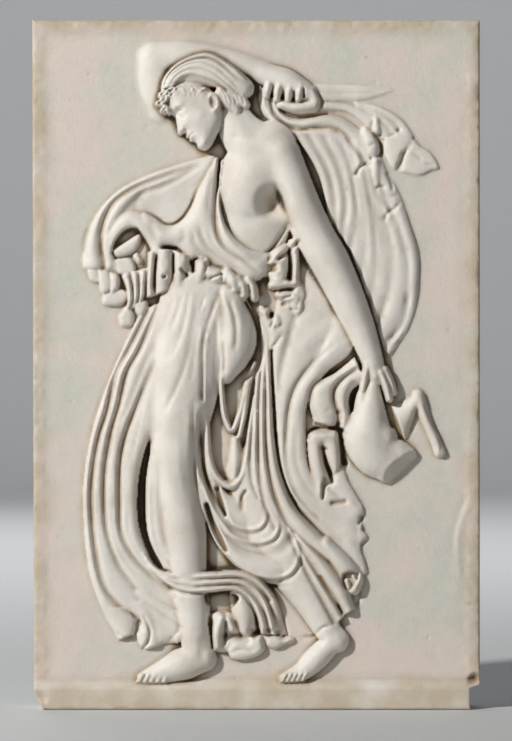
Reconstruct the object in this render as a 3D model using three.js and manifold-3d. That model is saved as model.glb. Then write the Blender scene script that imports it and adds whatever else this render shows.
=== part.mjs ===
// Marble relief plaque: a dancer in swinging cloth, one arm raised behind the head with a short
// knife, the other lowered with the haunch of a kid. Slab, ledge and figure are one block.
//
// Millimetres, +Z up. The back lies in the plane Y = 0 and the carving faces -Y.
// The origin is the centre of the back.
import * as THREE from "three";
import Module from "manifold-3d";
import { mergeVertices } from "three/addons/utils/BufferGeometryUtils.js";

const wasm = await Module();
wasm.setup();

// ---------------------------------------------------------------- the block
const WIDTH = 390;            // slab, side to side
const HEIGHT = 600;           // slab, foot to head
const SLAB = 42;              // from the back to the plain ground of the relief
const SINK = 8;               // how far every carved form is rooted into the slab
const LEDGE_TOP = 19;         // height of the ledge under the feet
const LEDGE_OUT = 7;          // how far the ledge stands out
const LEDGE_SLOPE = 7;        // height of the slope from the ledge back to the ground
const BREAK = 8.5;            // width lost where the lower right corner is broken off
const CHIP = 10;              // width lost from the lower left corner
const HALF_W = WIDTH / 2;
const HALF_H = HEIGHT / 2;

// ---------------------------------------------------------------- how finely the stone is faceted
const STEP_ALONG = 24;        // length of a facet along a fold or a limb
const FINEST = 1.2;           // no facet edge is shorter than this
const STEEPEST_TURN = 0.3;    // cosine of the most that tidying may turn a facet
const FOLD_ACROSS = [0, 0.2, 0.8];                 // where the facets of one fold meet
const LIMB_ACROSS = [-1, -0.8, -0.3, 0.3, 0.8, 1];
const CAP_TURNS = [75, 35];   // degrees round the blunt end of a limb
const DOME_RINGS = [1, 0.85, 0.5];
const DOME_SIDES = 12;
const PAD_RINGS = [[1, 0], [0.93, 0.55], [0.78, 0.88]];   // share of the outline, share of the rise
const HOLLOW_ACROSS = [-1, -0.7, 0, 0.7, 1];
const HOLLOW_RIM = 12;        // a hollow's sides lean out over this height
const CLEAR = 40;             // a level safely in front of all the carving
const GROUND_RISE = 0.4;      // thinnest edge that a form keeps where it meets the ground

// ---------------------------------------------------------------- the forms the carving is made of
// A place on the relief is [x, z, height off the ground].

function toSolid(vertices, triangles) {
  const mesh = new wasm.Mesh({
    numProp: 3,
    vertProperties: new Float32Array(vertices),
    triVerts: new Uint32Array(triangles),
  });
  return new wasm.Manifold(mesh);
}

function solidOf(geometry) {
  const bare = geometry.clone();
  bare.deleteAttribute("normal");
  bare.deleteAttribute("uv");
  const merged = mergeVertices(bare, 1e-3);
  return toSolid(merged.attributes.position.array, merged.index.array);
}

// A closed block under a grid of places. It reaches down (or, for a cutter, up) to a flat level.
function block(rows, level) {
  const across = rows[0].length;
  const places = rows.flat();
  const vertices = [];
  for (const [x, z, height] of places) {
    vertices.push(x, -(SLAB + height), z);
  }
  for (const [x, z] of places) {
    vertices.push(x, -(SLAB + level), z);
  }
  const count = places.length;
  const triangles = [];
  const quad = (a, b, c, d) => triangles.push(a, b, c, a, c, d);
  for (let i = 0; i + 1 < rows.length; i++) {
    for (let j = 0; j + 1 < across; j++) {
      const a = i * across + j;
      quad(a, a + 1, a + across + 1, a + across);
      quad(count + a, count + a + across, count + a + across + 1, count + a + 1);
    }
  }
  const rim = [];
  for (let j = 0; j + 1 < across; j++) {
    rim.push(j);
  }
  for (let i = 0; i + 1 < rows.length; i++) {
    rim.push(i * across + across - 1);
  }
  for (let j = across - 1; j > 0; j--) {
    rim.push((rows.length - 1) * across + j);
  }
  for (let i = rows.length - 1; i > 0; i--) {
    rim.push(i * across);
  }
  rim.forEach((a, k) => {
    const b = rim[(k + 1) % rim.length];
    quad(a, count + a, count + b, b);
  });
  return toSolid(vertices, outward(vertices, triangles));
}

// Turns every facet round if the solid came out inside out.
function outward(vertices, triangles) {
  const corner = (i) => new THREE.Vector3().fromArray(vertices, 3 * i);
  let volume = 0;
  for (let t = 0; t < triangles.length; t += 3) {
    const [a, b, c] = triangles.slice(t, t + 3).map(corner);
    volume += a.dot(b.cross(c));
  }
  return volume > 0 ? triangles : triangles.reverse();
}

// A smooth run through a few places, cut into equal steps.
function run(points, steps) {
  const curve = new THREE.CatmullRomCurve3(
    points.map((p) => new THREE.Vector3(...p)),
    false,
    "centripetal",
  );
  return curve.getSpacedPoints(steps);
}

function stepsFor(lines) {
  const longest = Math.max(...lines.map((line) => {
    const places = line.map((p) => new THREE.Vector3(...p));
    return new THREE.CatmullRomCurve3(places, false, "centripetal").getLength();
  }));
  return Math.max(...lines.map((line) => line.length - 1), Math.round(longest / STEP_ALONG));
}

// A value eased along a short list, for a place between 0 and 1.
function along(list, t) {
  const s = t * (list.length - 1);
  const i = Math.min(Math.floor(s), list.length - 2);
  if (list.length === 1) {
    return list[0];
  }
  return THREE.MathUtils.lerp(list[i], list[i + 1], THREE.MathUtils.smoothstep(s - i, 0, 1));
}

// Folds of cloth between guide lines. The guides lie in the valleys; counts gives the number of
// folds between each pair of guides, and crests, pair by pair, the height of their backs from first
// to last.
function folds(guides, counts, crests, roundness = 0.5) {
  const steps = stepsFor(guides);
  const runs = guides.map((line) => run(line, steps));
  const valleys = [];
  counts.forEach((count, i) => {
    for (let k = 0; k < count; k++) {
      const line = runs[i].map((p, s) => p.clone().lerp(runs[i + 1][s], k / count));
      valleys.push({ line, crest: crests[Math.min(i, crests.length - 1)] });
    }
  });
  valleys.push({ line: runs.at(-1) });
  const rows = [];
  for (let s = 0; s <= steps; s++) {
    const row = [];
    for (let v = 0; v + 1 < valleys.length; v++) {
      for (const u of FOLD_ACROSS) {
        const p = valleys[v].line[s].clone().lerp(valleys[v + 1].line[s], u);
        const rise = Math.max(along(valleys[v].crest, s / steps) - p.z, 0);
        row.push([p.x, p.y, p.z + rise * (4 * u * (1 - u)) ** roundness]);
      }
    }
    row.push(valleys.at(-1).line[s].toArray());
    rows.push(row);
  }
  return block(rows, -SINK);
}

// The rows of a rounded form along a spine of [x, z, half width, edge height, crown height].
function limbRows(spine, across) {
  const places = spine.map(([x, z]) => new THREE.Vector3(x, 0, z));
  const centre = new THREE.CatmullRomCurve3(places, false, "centripetal");
  const steps = Math.max(2, Math.round(centre.getLength() / STEP_ALONG));
  const sizes = spine.map((s) => new THREE.Vector3(s[2], s[3], s[4]));
  const shape = new THREE.CatmullRomCurve3(sizes, false, "centripetal");
  const rows = [];
  const addRow = (t, shift, shrink) => {
    const p = centre.getPoint(t);
    const way = centre.getTangent(t);
    const { x: half, y: edge, z: crown } = shape.getPoint(t);
    rows.push(across.map((u) => [
      p.x + way.x * half * shift - way.z * half * shrink * u,
      p.z + way.z * half * shift + way.x * half * shrink * u,
      edge + (crown - edge) * Math.sqrt(1 - u * u) * shrink,
    ]));
  };
  const turns = CAP_TURNS.map((degrees) => THREE.MathUtils.degToRad(degrees));
  turns.forEach((a) => addRow(0, -Math.sin(a), Math.cos(a)));
  for (let s = 0; s <= steps; s++) {
    addRow(s / steps, 0, 1);
  }
  turns.reverse().forEach((a) => addRow(1, Math.sin(a), Math.cos(a)));
  return rows;
}

function limb(spine) {
  return block(limbRows(spine, LIMB_ACROSS), -SINK);
}

// A closed mound over rings of places, outermost first, rising to one place in the middle.
function mound(rings, middle) {
  const sides = rings[0].length;
  const places = [...rings.flat(), middle];
  const foot = [...rings[0], middle];
  const vertices = [];
  for (const [x, z, height] of places) {
    vertices.push(x, -(SLAB + height), z);
  }
  for (const [x, z] of foot) {
    vertices.push(x, -(SLAB - SINK), z);
  }
  const top = places.length - 1;
  const under = places.length;
  const triangles = [];
  for (let k = 0; k < sides; k++) {
    const next = (k + 1) % sides;
    for (let r = 0; r + 1 < rings.length; r++) {
      const a = r * sides;
      triangles.push(a + k, a + next, a + sides + next, a + k, a + sides + next, a + sides + k);
    }
    const inner = (rings.length - 1) * sides;
    triangles.push(inner + k, inner + next, top);
    triangles.push(under + k, under + sides, under + next);
    triangles.push(k, under + k, under + next, k, under + next, next);
  }
  return toSolid(vertices, outward(vertices, triangles));
}

// A rounded swelling on an oval foot, turned by so many degrees.
function dome(x, z, halfX, halfZ, turn, edge, crown) {
  const angle = THREE.MathUtils.degToRad(turn);
  const rings = DOME_RINGS.map((share) => {
    return Array.from({ length: DOME_SIDES }, (_, k) => {
      const way = (2 * Math.PI * k) / DOME_SIDES;
      const a = halfX * share * Math.cos(way);
      const b = halfZ * share * Math.sin(way);
      return [
        x + a * Math.cos(angle) - b * Math.sin(angle),
        z + a * Math.sin(angle) + b * Math.cos(angle),
        edge + (crown - edge) * Math.sqrt(1 - share * share),
      ];
    });
  });
  return mound(rings, [x, z, crown]);
}

// A pad with a rounded rim inside a free outline of [x, z]. Every corner must be seen from the middle.
function pad(outline, middle, edge, crown) {
  const rings = PAD_RINGS.map(([share, rise]) => outline.map(([x, z]) => [
    THREE.MathUtils.lerp(middle[0], x, share),
    THREE.MathUtils.lerp(middle[1], z, share),
    THREE.MathUtils.lerp(edge, crown, rise),
  ]));
  return mound(rings, [...middle, crown]);
}

// A cutter for a deep hollow, along a spine of [x, z, half width, height of its floor].
function hollow(spine) {
  const inside = spine.map(([x, z, half, floor]) => [x, z, half, floor + HOLLOW_RIM, floor]);
  return block(limbRows(inside, HOLLOW_ACROSS), CLEAR);
}

// ---------------------------------------------------------------- slab
// The outline of the stone seen from the front, with its two damaged lower corners.
function outlineBlock(depth) {
  const outline = [
    [-HALF_W, HALF_H - 2],
    [-HALF_W + 1.5, -HALF_H + 17],
    [-HALF_W + CHIP, -HALF_H],
    [HALF_W - BREAK, -HALF_H],
    [HALF_W - BREAK, -HALF_H + 20],
    [HALF_W - BREAK - 2.5, -HALF_H + 31],
    [HALF_W, -HALF_H + 20],
    [HALF_W, HALF_H - 1],
    [HALF_W - 2, HALF_H],
    [-HALF_W + 3, HALF_H],
  ];
  const shape = new THREE.Shape(outline.map(([x, z]) => new THREE.Vector2(x, z)));
  return solidOf(new THREE.ExtrudeGeometry(shape, { depth, bevelEnabled: false }).rotateX(Math.PI / 2));
}

// The ledge under the feet: square in front, sloping back to the ground above.
function ledge() {
  const out = -(SLAB + LEDGE_OUT);
  const top = -HALF_H + LEDGE_TOP;
  const profile = [
    [-SLAB + SINK, -HALF_H],
    [out, -HALF_H],
    [out, top],
    [-SLAB, top + LEDGE_SLOPE],
    [-SLAB + SINK, top + LEDGE_SLOPE],
  ];
  const shape = new THREE.Shape(profile.map(([y, z]) => new THREE.Vector2(y, z)));
  const bar = new THREE.ExtrudeGeometry(shape, { depth: WIDTH, bevelEnabled: false });
  // the profile is drawn in Y and Z, and the bar runs along X
  bar.applyMatrix4(new THREE.Matrix4().set(
    0, 0, 1, -HALF_W,
    1, 0, 0, 0,
    0, 1, 0, 0,
    0, 0, 0, 1,
  ));
  return solidOf(bar).intersect(outlineBlock(SLAB + LEDGE_OUT));
}

// ---------------------------------------------------------------- landmarks of the figure, [x, z]
const SHOULDER = [21, 184];
const ELBOW = [65, 88];
const WRIST = [101, 4];
const RAISED_ELBOW = [-88, 266];
const RAISED_WRIST = [0, 257];
const HIP = [-48, 62];
const KNEE = [-69, -66];
const ANKLE = [-52, -240];
const FAR_KNEE = [12, -135];
const FAR_ANKLE = [62, -230];
const EAR = [-40, 230];
const HEAD_TALL = 72;         // chin to crown
const HEAD_TILT = 38.7;       // degrees the face looks down from level

// A place on the head: forward of the ear towards the face, and up from the chin, in head heights.
function onHead(forward, up) {
  const tilt = THREE.MathUtils.degToRad(HEAD_TILT);
  const a = forward * HEAD_TALL;
  const b = (up - 0.45) * HEAD_TALL;
  return [
    EAR[0] - a * Math.cos(tilt) - b * Math.sin(tilt),
    EAR[1] - a * Math.sin(tilt) + b * Math.cos(tilt),
  ];
}

// ---------------------------------------------------------------- flesh
function head() {
  const face = [
    [0.36, 0.86], [0.44, 0.76], [0.474, 0.62], [0.462, 0.555], [0.555, 0.36], [0.488, 0.31],
    [0.508, 0.27], [0.482, 0.24], [0.498, 0.212], [0.458, 0.15], [0.47, 0.08], [0.42, 0.01],
    [0.22, 0.055], [0.02, 0.16], [-0.1, 0.45], [0.05, 0.8],
  ];
  const skull = [
    [0.42, 0.8], [0.3, 0.95], [0, 1.03], [-0.3, 0.97], [-0.5, 0.76], [-0.52, 0.58], [-0.4, 0.42],
    [-0.18, 0.38], [0, 0.5], [0.2, 0.66], [0.36, 0.72],
  ];
  return [
    pad(face.map((p) => onHead(...p)), onHead(0.22, 0.45), 8, 20),
    pad(skull.map((p) => onHead(...p)), onHead(-0.05, 0.76), 8, 21),
    folds(
      [
        [
          onHead(0.4, 0.8), onHead(0.2, 0.99), onHead(-0.25, 0.98), onHead(-0.49, 0.7),
        ].map((p) => [...p, 12]),
        [
          onHead(0.42, 0.7), onHead(0.2, 0.68), onHead(-0.1, 0.52), onHead(-0.4, 0.46),
        ].map((p) => [...p, 15]),
      ],
      [4], [[18, 24, 24, 17]],
    ),
    dome(...onHead(0, 0.45), 4, 7.5, -20, 18, 23.5),
  ];
}

function raisedArm() {
  return [
    limb([
      [-84, 224, 11, GROUND_RISE, 5],
      [-88, 244, 14, GROUND_RISE, 7],
      [...RAISED_ELBOW, 14.5, GROUND_RISE, 8],
    ]),
    limb([
      [...RAISED_ELBOW, 14.5, GROUND_RISE, 8], [-62, 268.5, 13, GROUND_RISE, 9],
      [-30, 264, 12, GROUND_RISE, 9], [...RAISED_WRIST, 9.5, GROUND_RISE, 9], [14, 252, 11, GROUND_RISE, 10],
    ]),
    limb([[8, 252, 9, 1, 10], [26, 246, 12, 1, 12], [44, 235, 9, 1, 11], [52, 227, 5, 1, 8]]),
    limb([[26, 226, 4, 1, 8], [38, 223, 5, 1, 10], [52, 223, 4, 1, 8]]),
    folds(
      [[[8, 246, 6], [9, 238, 6], [10, 232, 2]], [[48, 238, 6], [47, 232, 6], [46, 227, 2]]],
      [4],
      [[13, 13, 9]],
    ),
  ];
}

function knife() {
  const back = [[50, 244.5, 0.6], [90, 243, 0.6], [119.5, 239.6, 0.5]];
  const edge = [[50, 229, 0.6], [98, 231.5, 0.6], [119, 238.4, 0.5]];
  return [folds([back, edge], [1], [[2.8, 2.4, 1.2]], 0.4)];
}

function torso() {
  return [
    limb([
      [12, 190, 24, 2, 20], [4, 168, 34, 2, 19], [1, 140, 33, 2, 17], [-4, 112, 28, 2, 15],
      [-8, 88, 24, 2, 14],
    ]),
    dome(-8, 150, 27, 26, 0, -4, 21),
    limb([[-26, 222, 14, 1, 12], [-14, 204, 17, 1, 16], [-4, 188, 21, 1, 18]]),
  ];
}

function loweredArm() {
  return [
    limb([
      [...SHOULDER, 17, 4, 25], [33, 152, 17, 4, 26], [45, 126, 17, 4, 26], [...ELBOW, 16.7, 4, 24],
      [84, 48, 14, 4, 20], [94, 24, 11.5, 4, 17], [...WRIST, 9.5, 3, 14], [104, -10, 9, 3, 13],
    ]),
    limb([[97, -2, 4, 3, 14], [94, -13, 3.6, 3, 14], [92.5, -23, 3.2, 3, 12]]),
    limb([[108, -8, 4, 2, 14], [113, -20, 4, 2, 15], [116, -30, 3.5, 2, 15]]),
  ];
}

function legs() {
  return [
    limb([
      [...HIP, 34, 2, 16], [-58, 10, 34, 4, 22], [...KNEE, 24, 4, 24], [-70, -98, 20, 4, 22],
      [-66, -140, 19, 4, 21], [-60, -180, 17, 4, 19], [-55, -215, 14, 3, 16], [...ANKLE, 11, 2, 14],
    ]),
    limb([[-22, 66, 12, 3, 15], [-19, 42, 16, 3, 18], [-18, 18, 18, 3, 20], [-20, 4, 14, 3, 18]]),
    limb([
      [-4, -92, 22, 2, 9], [...FAR_KNEE, 26, 2, 13], [32, -175, 22, 2, 14], [50, -205, 16, 2, 13],
      [...FAR_ANKLE, 11, 2, 11],
    ]),
  ];
}

// Five toes side by side, from the great toe to the little one, resting on the ledge.
function toes(great, little, crown) {
  const tip = ([x, z]) => [x - 3.5, z - 7, 3];
  return folds([[[...great, 5], tip(great)], [[...little, 5], tip(little)]], [5], [[crown, crown - 1.5]]);
}

function feet() {
  return [
    toes([-74, -269], [-101, -269], 10.5),
    toes([46, -268], [24, -269], 10),
    limb([
      [-45, -256, 11, 1, 12], [-62, -260, 14, 1, 14], [-80, -267, 10, 1, 11],
      [-98, -273, 5.5, 1, 8.5],
    ]),
    limb([[-54, -232, 12, 2, 15], [-51, -250, 12.5, 2, 14]]),
    limb([[66, -232, 10, 1, 10], [70, -240, 11, 1, 11]]),
    limb([[66, -242, 9, 1, 10], [52, -256, 10, 1, 11], [40, -267, 8, 1, 9], [24, -273, 4, 1, 8]]),
  ];
}

// ---------------------------------------------------------------- the haunch of a kid
function haunch() {
  return [
    limb([
      [101, -18, 6, 3, 12], [99, -38, 13, 3, 15], [99, -62, 22, 3, 19], [108, -76, 22, 3, 17],
      [116, -82, 20, 2, 14],
    ]),
    folds(
      [
        [[118, -36, 0.5], [132, -28, 0.5], [142, -20, 0.5]],
        [[126, -66, 0.5], [136, -50, 0.5], [142, -34, 0.5]],
      ],
      [1], [[6, 6, 6]],
    ),
    limb([[142, -26, 5.5, 0.5, 7], [150, -50, 4.5, 0.5, 7], [157, -68, 5, 0.5, 7], [161, -77, 5, 0.5, 7]]),
  ];
}

// ---------------------------------------------------------------- cloth
function scarf() {
  const outer = [
    [107, 181, 0.5], [126, 145, 0.5], [140, 103, 0.5], [141, 58, 0.5], [127, 21, 0.5],
    [117, 8, 0.5],
  ];
  const second = [[99, 178, 2], [113, 142, 2], [127, 100, 2], [129, 60, 2], [118, 28, 2], [112, 12, 1]];
  const middle = [[93, 182, 2.5], [97, 150, 2.5], [103, 110, 2.5], [103, 75, 2.5], [98, 55, 2]];
  const inner = [[74, 196, 2.5], [83, 165, 2.5], [87, 130, 2.5], [82, 100, 2]];
  const byArm = [[36, 196, 2.5], [53, 170, 2.5], [60, 145, 2.5], [62, 128, 2]];
  const top = [[56, 229, 0.5], [72, 228, 0.5], [98, 221, 0.5], [108, 214, 0.5]];
  const upper = [[56, 222, 1.5], [68, 222, 1.5], [82, 219, 1.5], [101, 205, 1.5]];
  const swing = [
    [17, 231, 1.5], [19, 222, 1.5], [30, 215.5, 1.5], [57, 216, 1.5], [80, 212, 2], [91, 203, 2],
  ];
  const lower = [
    [13, 233, 1.5], [14, 223, 1.5], [30, 206.5, 1.5], [56, 206, 1.5], [78, 200, 1.5],
    [97, 175, 1.5],
  ];
  const neck = [
    [3, 243, 1], [2, 232, 1], [6, 221, 1], [26, 202, 1], [60, 199, 2], [80, 184, 2], [86, 172, 2],
  ];
  const tailTop = [[86, 229, 0.5], [108, 224, 0.5], [126, 214, 0.5], [137, 199, 0.5]];
  const tailFoot = [[90, 220, 1], [102, 210, 1], [108, 203, 1], [110, 197, 1]];
  const endTop = [[137, 199, 0.5], [142, 192, 0.5], [151, 186, 0.5], [158, 173, 0.5]];
  const endFoot = [[110, 199, 1], [117, 187, 1], [121, 178, 1], [122, 169, 1]];
  return [
    folds([outer, second, middle, inner, byArm], [1, 2, 2, 3], [
      [4, 4.6, 5, 4.6, 3.5],
      [4.5, 5.5, 6, 5.5, 4],
      [6, 6.5, 6, 4.5],
      [6, 6.5, 5.5],
    ]),
    folds([top, upper], [1], [[4, 4, 4]]),
    folds([swing, lower, neck], [1, 1], [[6.5, 6, 5.5, 5]]),
    folds([tailTop, tailFoot], [3], [[2.5, 3.5, 3.5]]),
    folds([endTop, endFoot], [3], [[3.5, 3.2, 3]]),
    limb([[95, 202, 5, 0.5, 7], [99, 196, 7.5, 0.5, 7.5], [101, 186, 7, 0.5, 7]]),
    limb([[105, 213, 3.5, 0.5, 6], [105, 203, 4, 0.5, 6]]),
  ];
}

function cloak() {
  const rim = [
    [-36, 182, 0.5], [-62, 175.5, 0.5], [-90, 165, 0.5], [-118, 150, 0.5], [-138, 130, 0.5],
    [-148, 100, 0.5], [-148, 80, 0.5],
  ];
  const groove = [
    [-40, 179, 2], [-68, 169, 2], [-92, 159, 2], [-116, 146, 2], [-131, 128, 2], [-135, 104, 2],
    [-131, 84, 2],
  ];
  const under = [
    [-44, 176, 2.5], [-66, 165, 2.5], [-86, 156, 2.5], [-105, 147, 2.5], [-121, 132, 2.5],
    [-128, 108, 2.5], [-125, 80, 2.5],
  ];
  return [
    folds([rim, groove, under], [1, 1], [[5, 6, 7, 7, 6]]),
    folds([
      [[-42, 177.5, 3], [-66, 167, 3], [-86, 158, 3], [-101, 151, 3], [-109, 141, 3]],
      [[-37, 178, 5], [-48, 157, 5], [-60, 128, 5], [-76, 114, 5], [-98, 126, 5]],
    ], [1], [[4.5, 4.5, 4.5]]),
    // the mouth of the sleeve: an arch, and the cloth seen inside it
    folds([
      [[-102, 146, 3], [-118, 137, 3], [-128, 120, 3], [-130, 100, 3], [-128, 80, 3]],
      [[-90, 106, 4], [-97, 116, 4], [-108, 120, 4], [-121, 113, 4], [-127, 98, 4], [-126, 80, 3]],
    ], [1], [[11, 10, 9, 8, 7]]),
    folds(
      [[[-125, 99, 2], [-113, 107, 2], [-101, 113, 2]], [[-122, 94, 2], [-109, 95, 2], [-101, 103, 2]]],
      [1],
      [[6, 7, 7]],
    ),
    folds([[[-122, 92, 2], [-121, 80, 2]], [[-107, 93, 2], [-106, 80, 2]]], [1], [[7, 7]]),
    folds([
      [[-100, 131, 4], [-92, 112, 5], [-90, 98, 5], [-97, 84, 4], [-106, 76, 3]],
      [[-84, 122, 7], [-80, 104, 7], [-84, 88, 6], [-90, 74, 5], [-98, 64, 3]],
    ], [1], [[12, 13, 12, 10, 9]]),
    // the hem hanging from it in scallops
    folds([[[-147, 82, 0.5], [-144, 73, 0.5]], [[-137, 85, 1], [-136, 71, 1]]], [1], [[5, 5]]),
    folds(
      [[[-137, 84, 1], [-137, 72, 0.5], [-134, 60, 0.5]], [[-119, 79, 3], [-119, 72, 3], [-120, 63, 2]]],
      [2],
      [[7, 8, 7]],
    ),
    folds([[[-134, 60, 0.5], [-134, 52, 0.5]], [[-117, 77, 2], [-116, 52, 1]]], [1], [[5, 6]]),
    folds(
      [[[-117, 78, 2], [-115, 66, 2], [-113, 52, 1]], [[-95, 80, 4], [-96, 68, 4], [-97, 55, 3]]],
      [3],
      [[8, 10, 9]],
    ),
    folds([[[-121, 43, 0.5], [-118, 33, 0.5]], [[-107, 54, 1], [-106, 34, 1]]], [1], [[5, 5]]),
    folds([[[-107, 56, 1], [-105, 44, 1]], [[-95, 56, 2], [-95, 44, 2]]], [1], [[7, 7]]),
  ];
}

function dress() {
  const edge = [[-37, 179, 6], [-48, 157, 7], [-58, 133, 8], [-64, 110, 9], [-64, 92, 8]];
  const middle = [[-34, 176, 8], [-40, 152, 9], [-44, 130, 11], [-46, 110, 12], [-42, 86, 10]];
  const neckline = [[-31, 178, 8], [-34.5, 150, 9], [-35, 122, 9], [-28, 103, 10], [-8, 82, 11]];
  const bandOut = [
    [-31, 178, 9], [-35.5, 142, 11], [-33, 112, 12], [-22, 95, 12], [-6, 78, 10], [6, 72, 6],
  ];
  const bandIn = [[-30, 178, 10], [-33, 142, 13], [-26, 121, 14], [-12, 103, 14], [6, 94, 10], [16, 93, 6]];
  return [
    folds([
      [[-58, 133, 7], [-66, 123, 7], [-76, 119, 7], [-88, 124, 7], [-98, 130, 7]],
      [[-48, 92, 8], [-60, 92, 8], [-70, 97, 8], [-80, 103, 8], [-90, 108, 7]],
    ], [1], [[14, 13, 12]]),
    folds([edge, middle, neckline], [2, 2], [[11, 14, 16, 16, 14]]),
    folds([bandOut, bandIn], [2], [[15, 17, 19, 19, 16, 10]]),
  ];
}

function belt() {
  return [
    folds([
      [[-97, 92, 4], [-96, 76, 4], [-96, 57, 2]],
      [[-85, 98, 6], [-88, 78, 6], [-88, 58, 3]],
      [[-71, 99, 7], [-71, 82, 7], [-72, 68, 4]],
      [[-56, 95, 8], [-58, 82, 8], [-60, 70, 5]],
    ], [1, 1, 1], [[12, 12, 11], [14, 15, 12], [16, 17, 14]]),
    limb([[-46, 92, 8, 6, 19], [-48, 80, 8, 6, 20], [-49, 73, 7, 5, 18]]),
    limb([[-38, 88, 7, 8, 19], [-32, 80, 7, 8, 19], [-24, 74, 7, 8, 19]]),
    limb([[-27, 80, 7, 8, 20], [-19, 72, 7, 8, 20], [-18, 66, 6, 6, 17]]),
    limb([[-16, 76, 6, 8, 19], [-10, 68, 5.5, 6, 18], [-9, 61, 5, 5, 15]]),
    limb([[-8, 76, 5.5, 8, 17], [-3, 66, 5, 6, 15], [-1, 56, 4.5, 4, 12]]),
  ];
}

function hangingFolds() {
  return [
    folds(
      [[[12, 96, 4], [11, 84, 4], [13, 72, 3]], [[27, 104, 4], [27, 86, 4], [24, 70, 3]]],
      [1],
      [[13, 14, 12]],
    ),
    folds(
      [[[28, 104, 3], [30, 84, 3], [28, 72, 2]], [[38, 108, 3], [38, 88, 2], [38, 76, 1]]],
      [1],
      [[12, 12, 11]],
    ),
    folds(
      [[[20, 64, 2], [32, 62, 2], [40, 76, 2]], [[26, 48, 0.5], [40, 52, 0.5], [44, 68, 0.5]]],
      [1],
      [[9, 11, 9]],
    ),
    folds(
      [[[26, 56, 1], [30, 48, 1], [35, 41, 0.5]], [[36, 58, 1], [40, 52, 1], [37, 41, 0.5]]],
      [1],
      [[6, 7, 5]],
    ),
    folds(
      [[[2, 50, 2], [7, 38, 2], [10, 28, 2]], [[12, 52, 2], [22, 42, 0.5], [25, 30, 0.5]]],
      [1],
      [[8, 9, 8]],
    ),
    folds(
      [[[9, 30, 1], [10, 22, 1], [12, 12, 0.5]], [[25, 32, 0.5], [22, 23, 0.5], [14, 12, 0.5]]],
      [1],
      [[6, 6, 3]],
    ),
  ];
}

function farCloth() {
  const inner = [
    [6, 52, 2], [13, -20, 2], [16, -60, 2], [22, -95, 2], [32, -115, 2], [56, -140, 2],
    [82, -160, 1],
  ];
  const second = [
    [34, 62, 3], [18, -15, 3], [18, -60, 3], [24, -92, 3], [34, -112, 3], [57, -136, 3],
    [84, -156, 2],
  ];
  const third = [
    [76, 52, 3], [33, -22, 3], [26, -60, 3], [29, -92, 3], [42, -114, 3], [62, -130, 3],
    [88, -150, 1],
  ];
  const outer = [
    [90, 30, 4], [50, -14, 4], [42, -55, 4], [44, -88, 4], [56, -108, 3], [72, -122, 2],
    [92, -136, 0.5],
  ];
  return [
    folds([inner, second, third, outer], [1, 2, 1], [[7, 7.5, 7.5, 6.5, 5, 3.5]]),
    folds([
      [[88, 12, 3], [68, -4, 3], [50, -16, 3], [46, -32, 3], [52, -50, 3]],
      [[88, -2, 3], [76, -10, 3], [68, -24, 3], [71, -40, 3], [72, -52, 3]],
      [[96, -14, 3], [84, -22, 3], [82, -32, 3], [84, -46, 3], [80, -56, 3]],
    ], [1, 1], [[9, 10, 10, 8]]),
    folds(
      [[[84, -46, 3], [84, -30, 3], [88, -18, 3]], [[96, -50, 3], [95, -34, 3], [94, -20, 3]]],
      [1],
      [[9, 10, 9]],
    ),
    folds(
      [[[46, -62, 3], [56, -80, 3], [62, -100, 3]], [[72, -54, 3], [73, -72, 3], [70, -96, 3]]],
      [2],
      [[8, 9, 8]],
    ),
    folds(
      [[[48, -60, 2], [58, -57, 2], [70, -52, 2]], [[50, -70, 2], [60, -72, 2], [72, -68, 2]]],
      [1],
      [[9, 10, 9]],
    ),
    folds([
      [[46, -100, 3], [60, -128, 2], [80, -150, 1], [92, -168, 0.5]],
      [[72, -88, 0.5], [90, -118, 0.5], [94, -136, 0.5], [97, -152, 0.5]],
    ], [2], [[5, 4, 3.5]], 0.4),
    folds(
      [
        [[62, -150, 2], [78, -168, 1], [86, -196, 0.5]],
        [[92, -150, 0.5], [93, -166, 0.5], [97, -182, 0.5]],
      ],
      [1],
      [[5, 5, 5]],
    ),
  ];
}

function skirt() {
  const rim = [
    [-98, 50, 0.5], [-123, 0, 0.5], [-142, -55, 0.5], [-151, -115, 0.5], [-147, -175, 0.5],
    [-133, -218, 0.5], [-121, -240, 0.5],
  ];
  const second = [
    [-92, 50, 3], [-116, -5, 3], [-134, -55, 3], [-143, -112, 3], [-139, -165, 3], [-129, -200, 2],
    [-104, -224, 1],
  ];
  const third = [
    [-88, 50, 4], [-109, -5, 4], [-125, -55, 4], [-132, -110, 4], [-126, -160, 4], [-112, -188, 3],
    [-86, -214, 1],
  ];
  const fourth = [
    [-85, 50, 5], [-101, -8, 5], [-114, -62, 5], [-118, -112, 5], [-115, -152, 5], [-98, -178, 5],
    [-68, -198, 3],
  ];
  const inner = [
    [-82, 50, 6], [-91, -8, 6], [-98, -66, 5], [-102, -112, 4], [-100, -150, 4], [-82, -180, 5],
    [-60, -192, 4],
  ];
  return [
    folds([rim, second, third, fourth, inner], [1, 1, 1, 1], [[8, 9.5, 11, 12, 12, 10, 7]]),
    folds([
      [[-90, -10, 6], [-97, -66, 5], [-101, -112, 4], [-98, -150, 4], [-82, -180, 5]],
      [[-84, -20, 6], [-90, -66, 5], [-92, -112, 4], [-88, -148, 4], [-72, -176, 5]],
    ], [1], [[13, 13, 12, 10]]),
  ];
}

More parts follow.
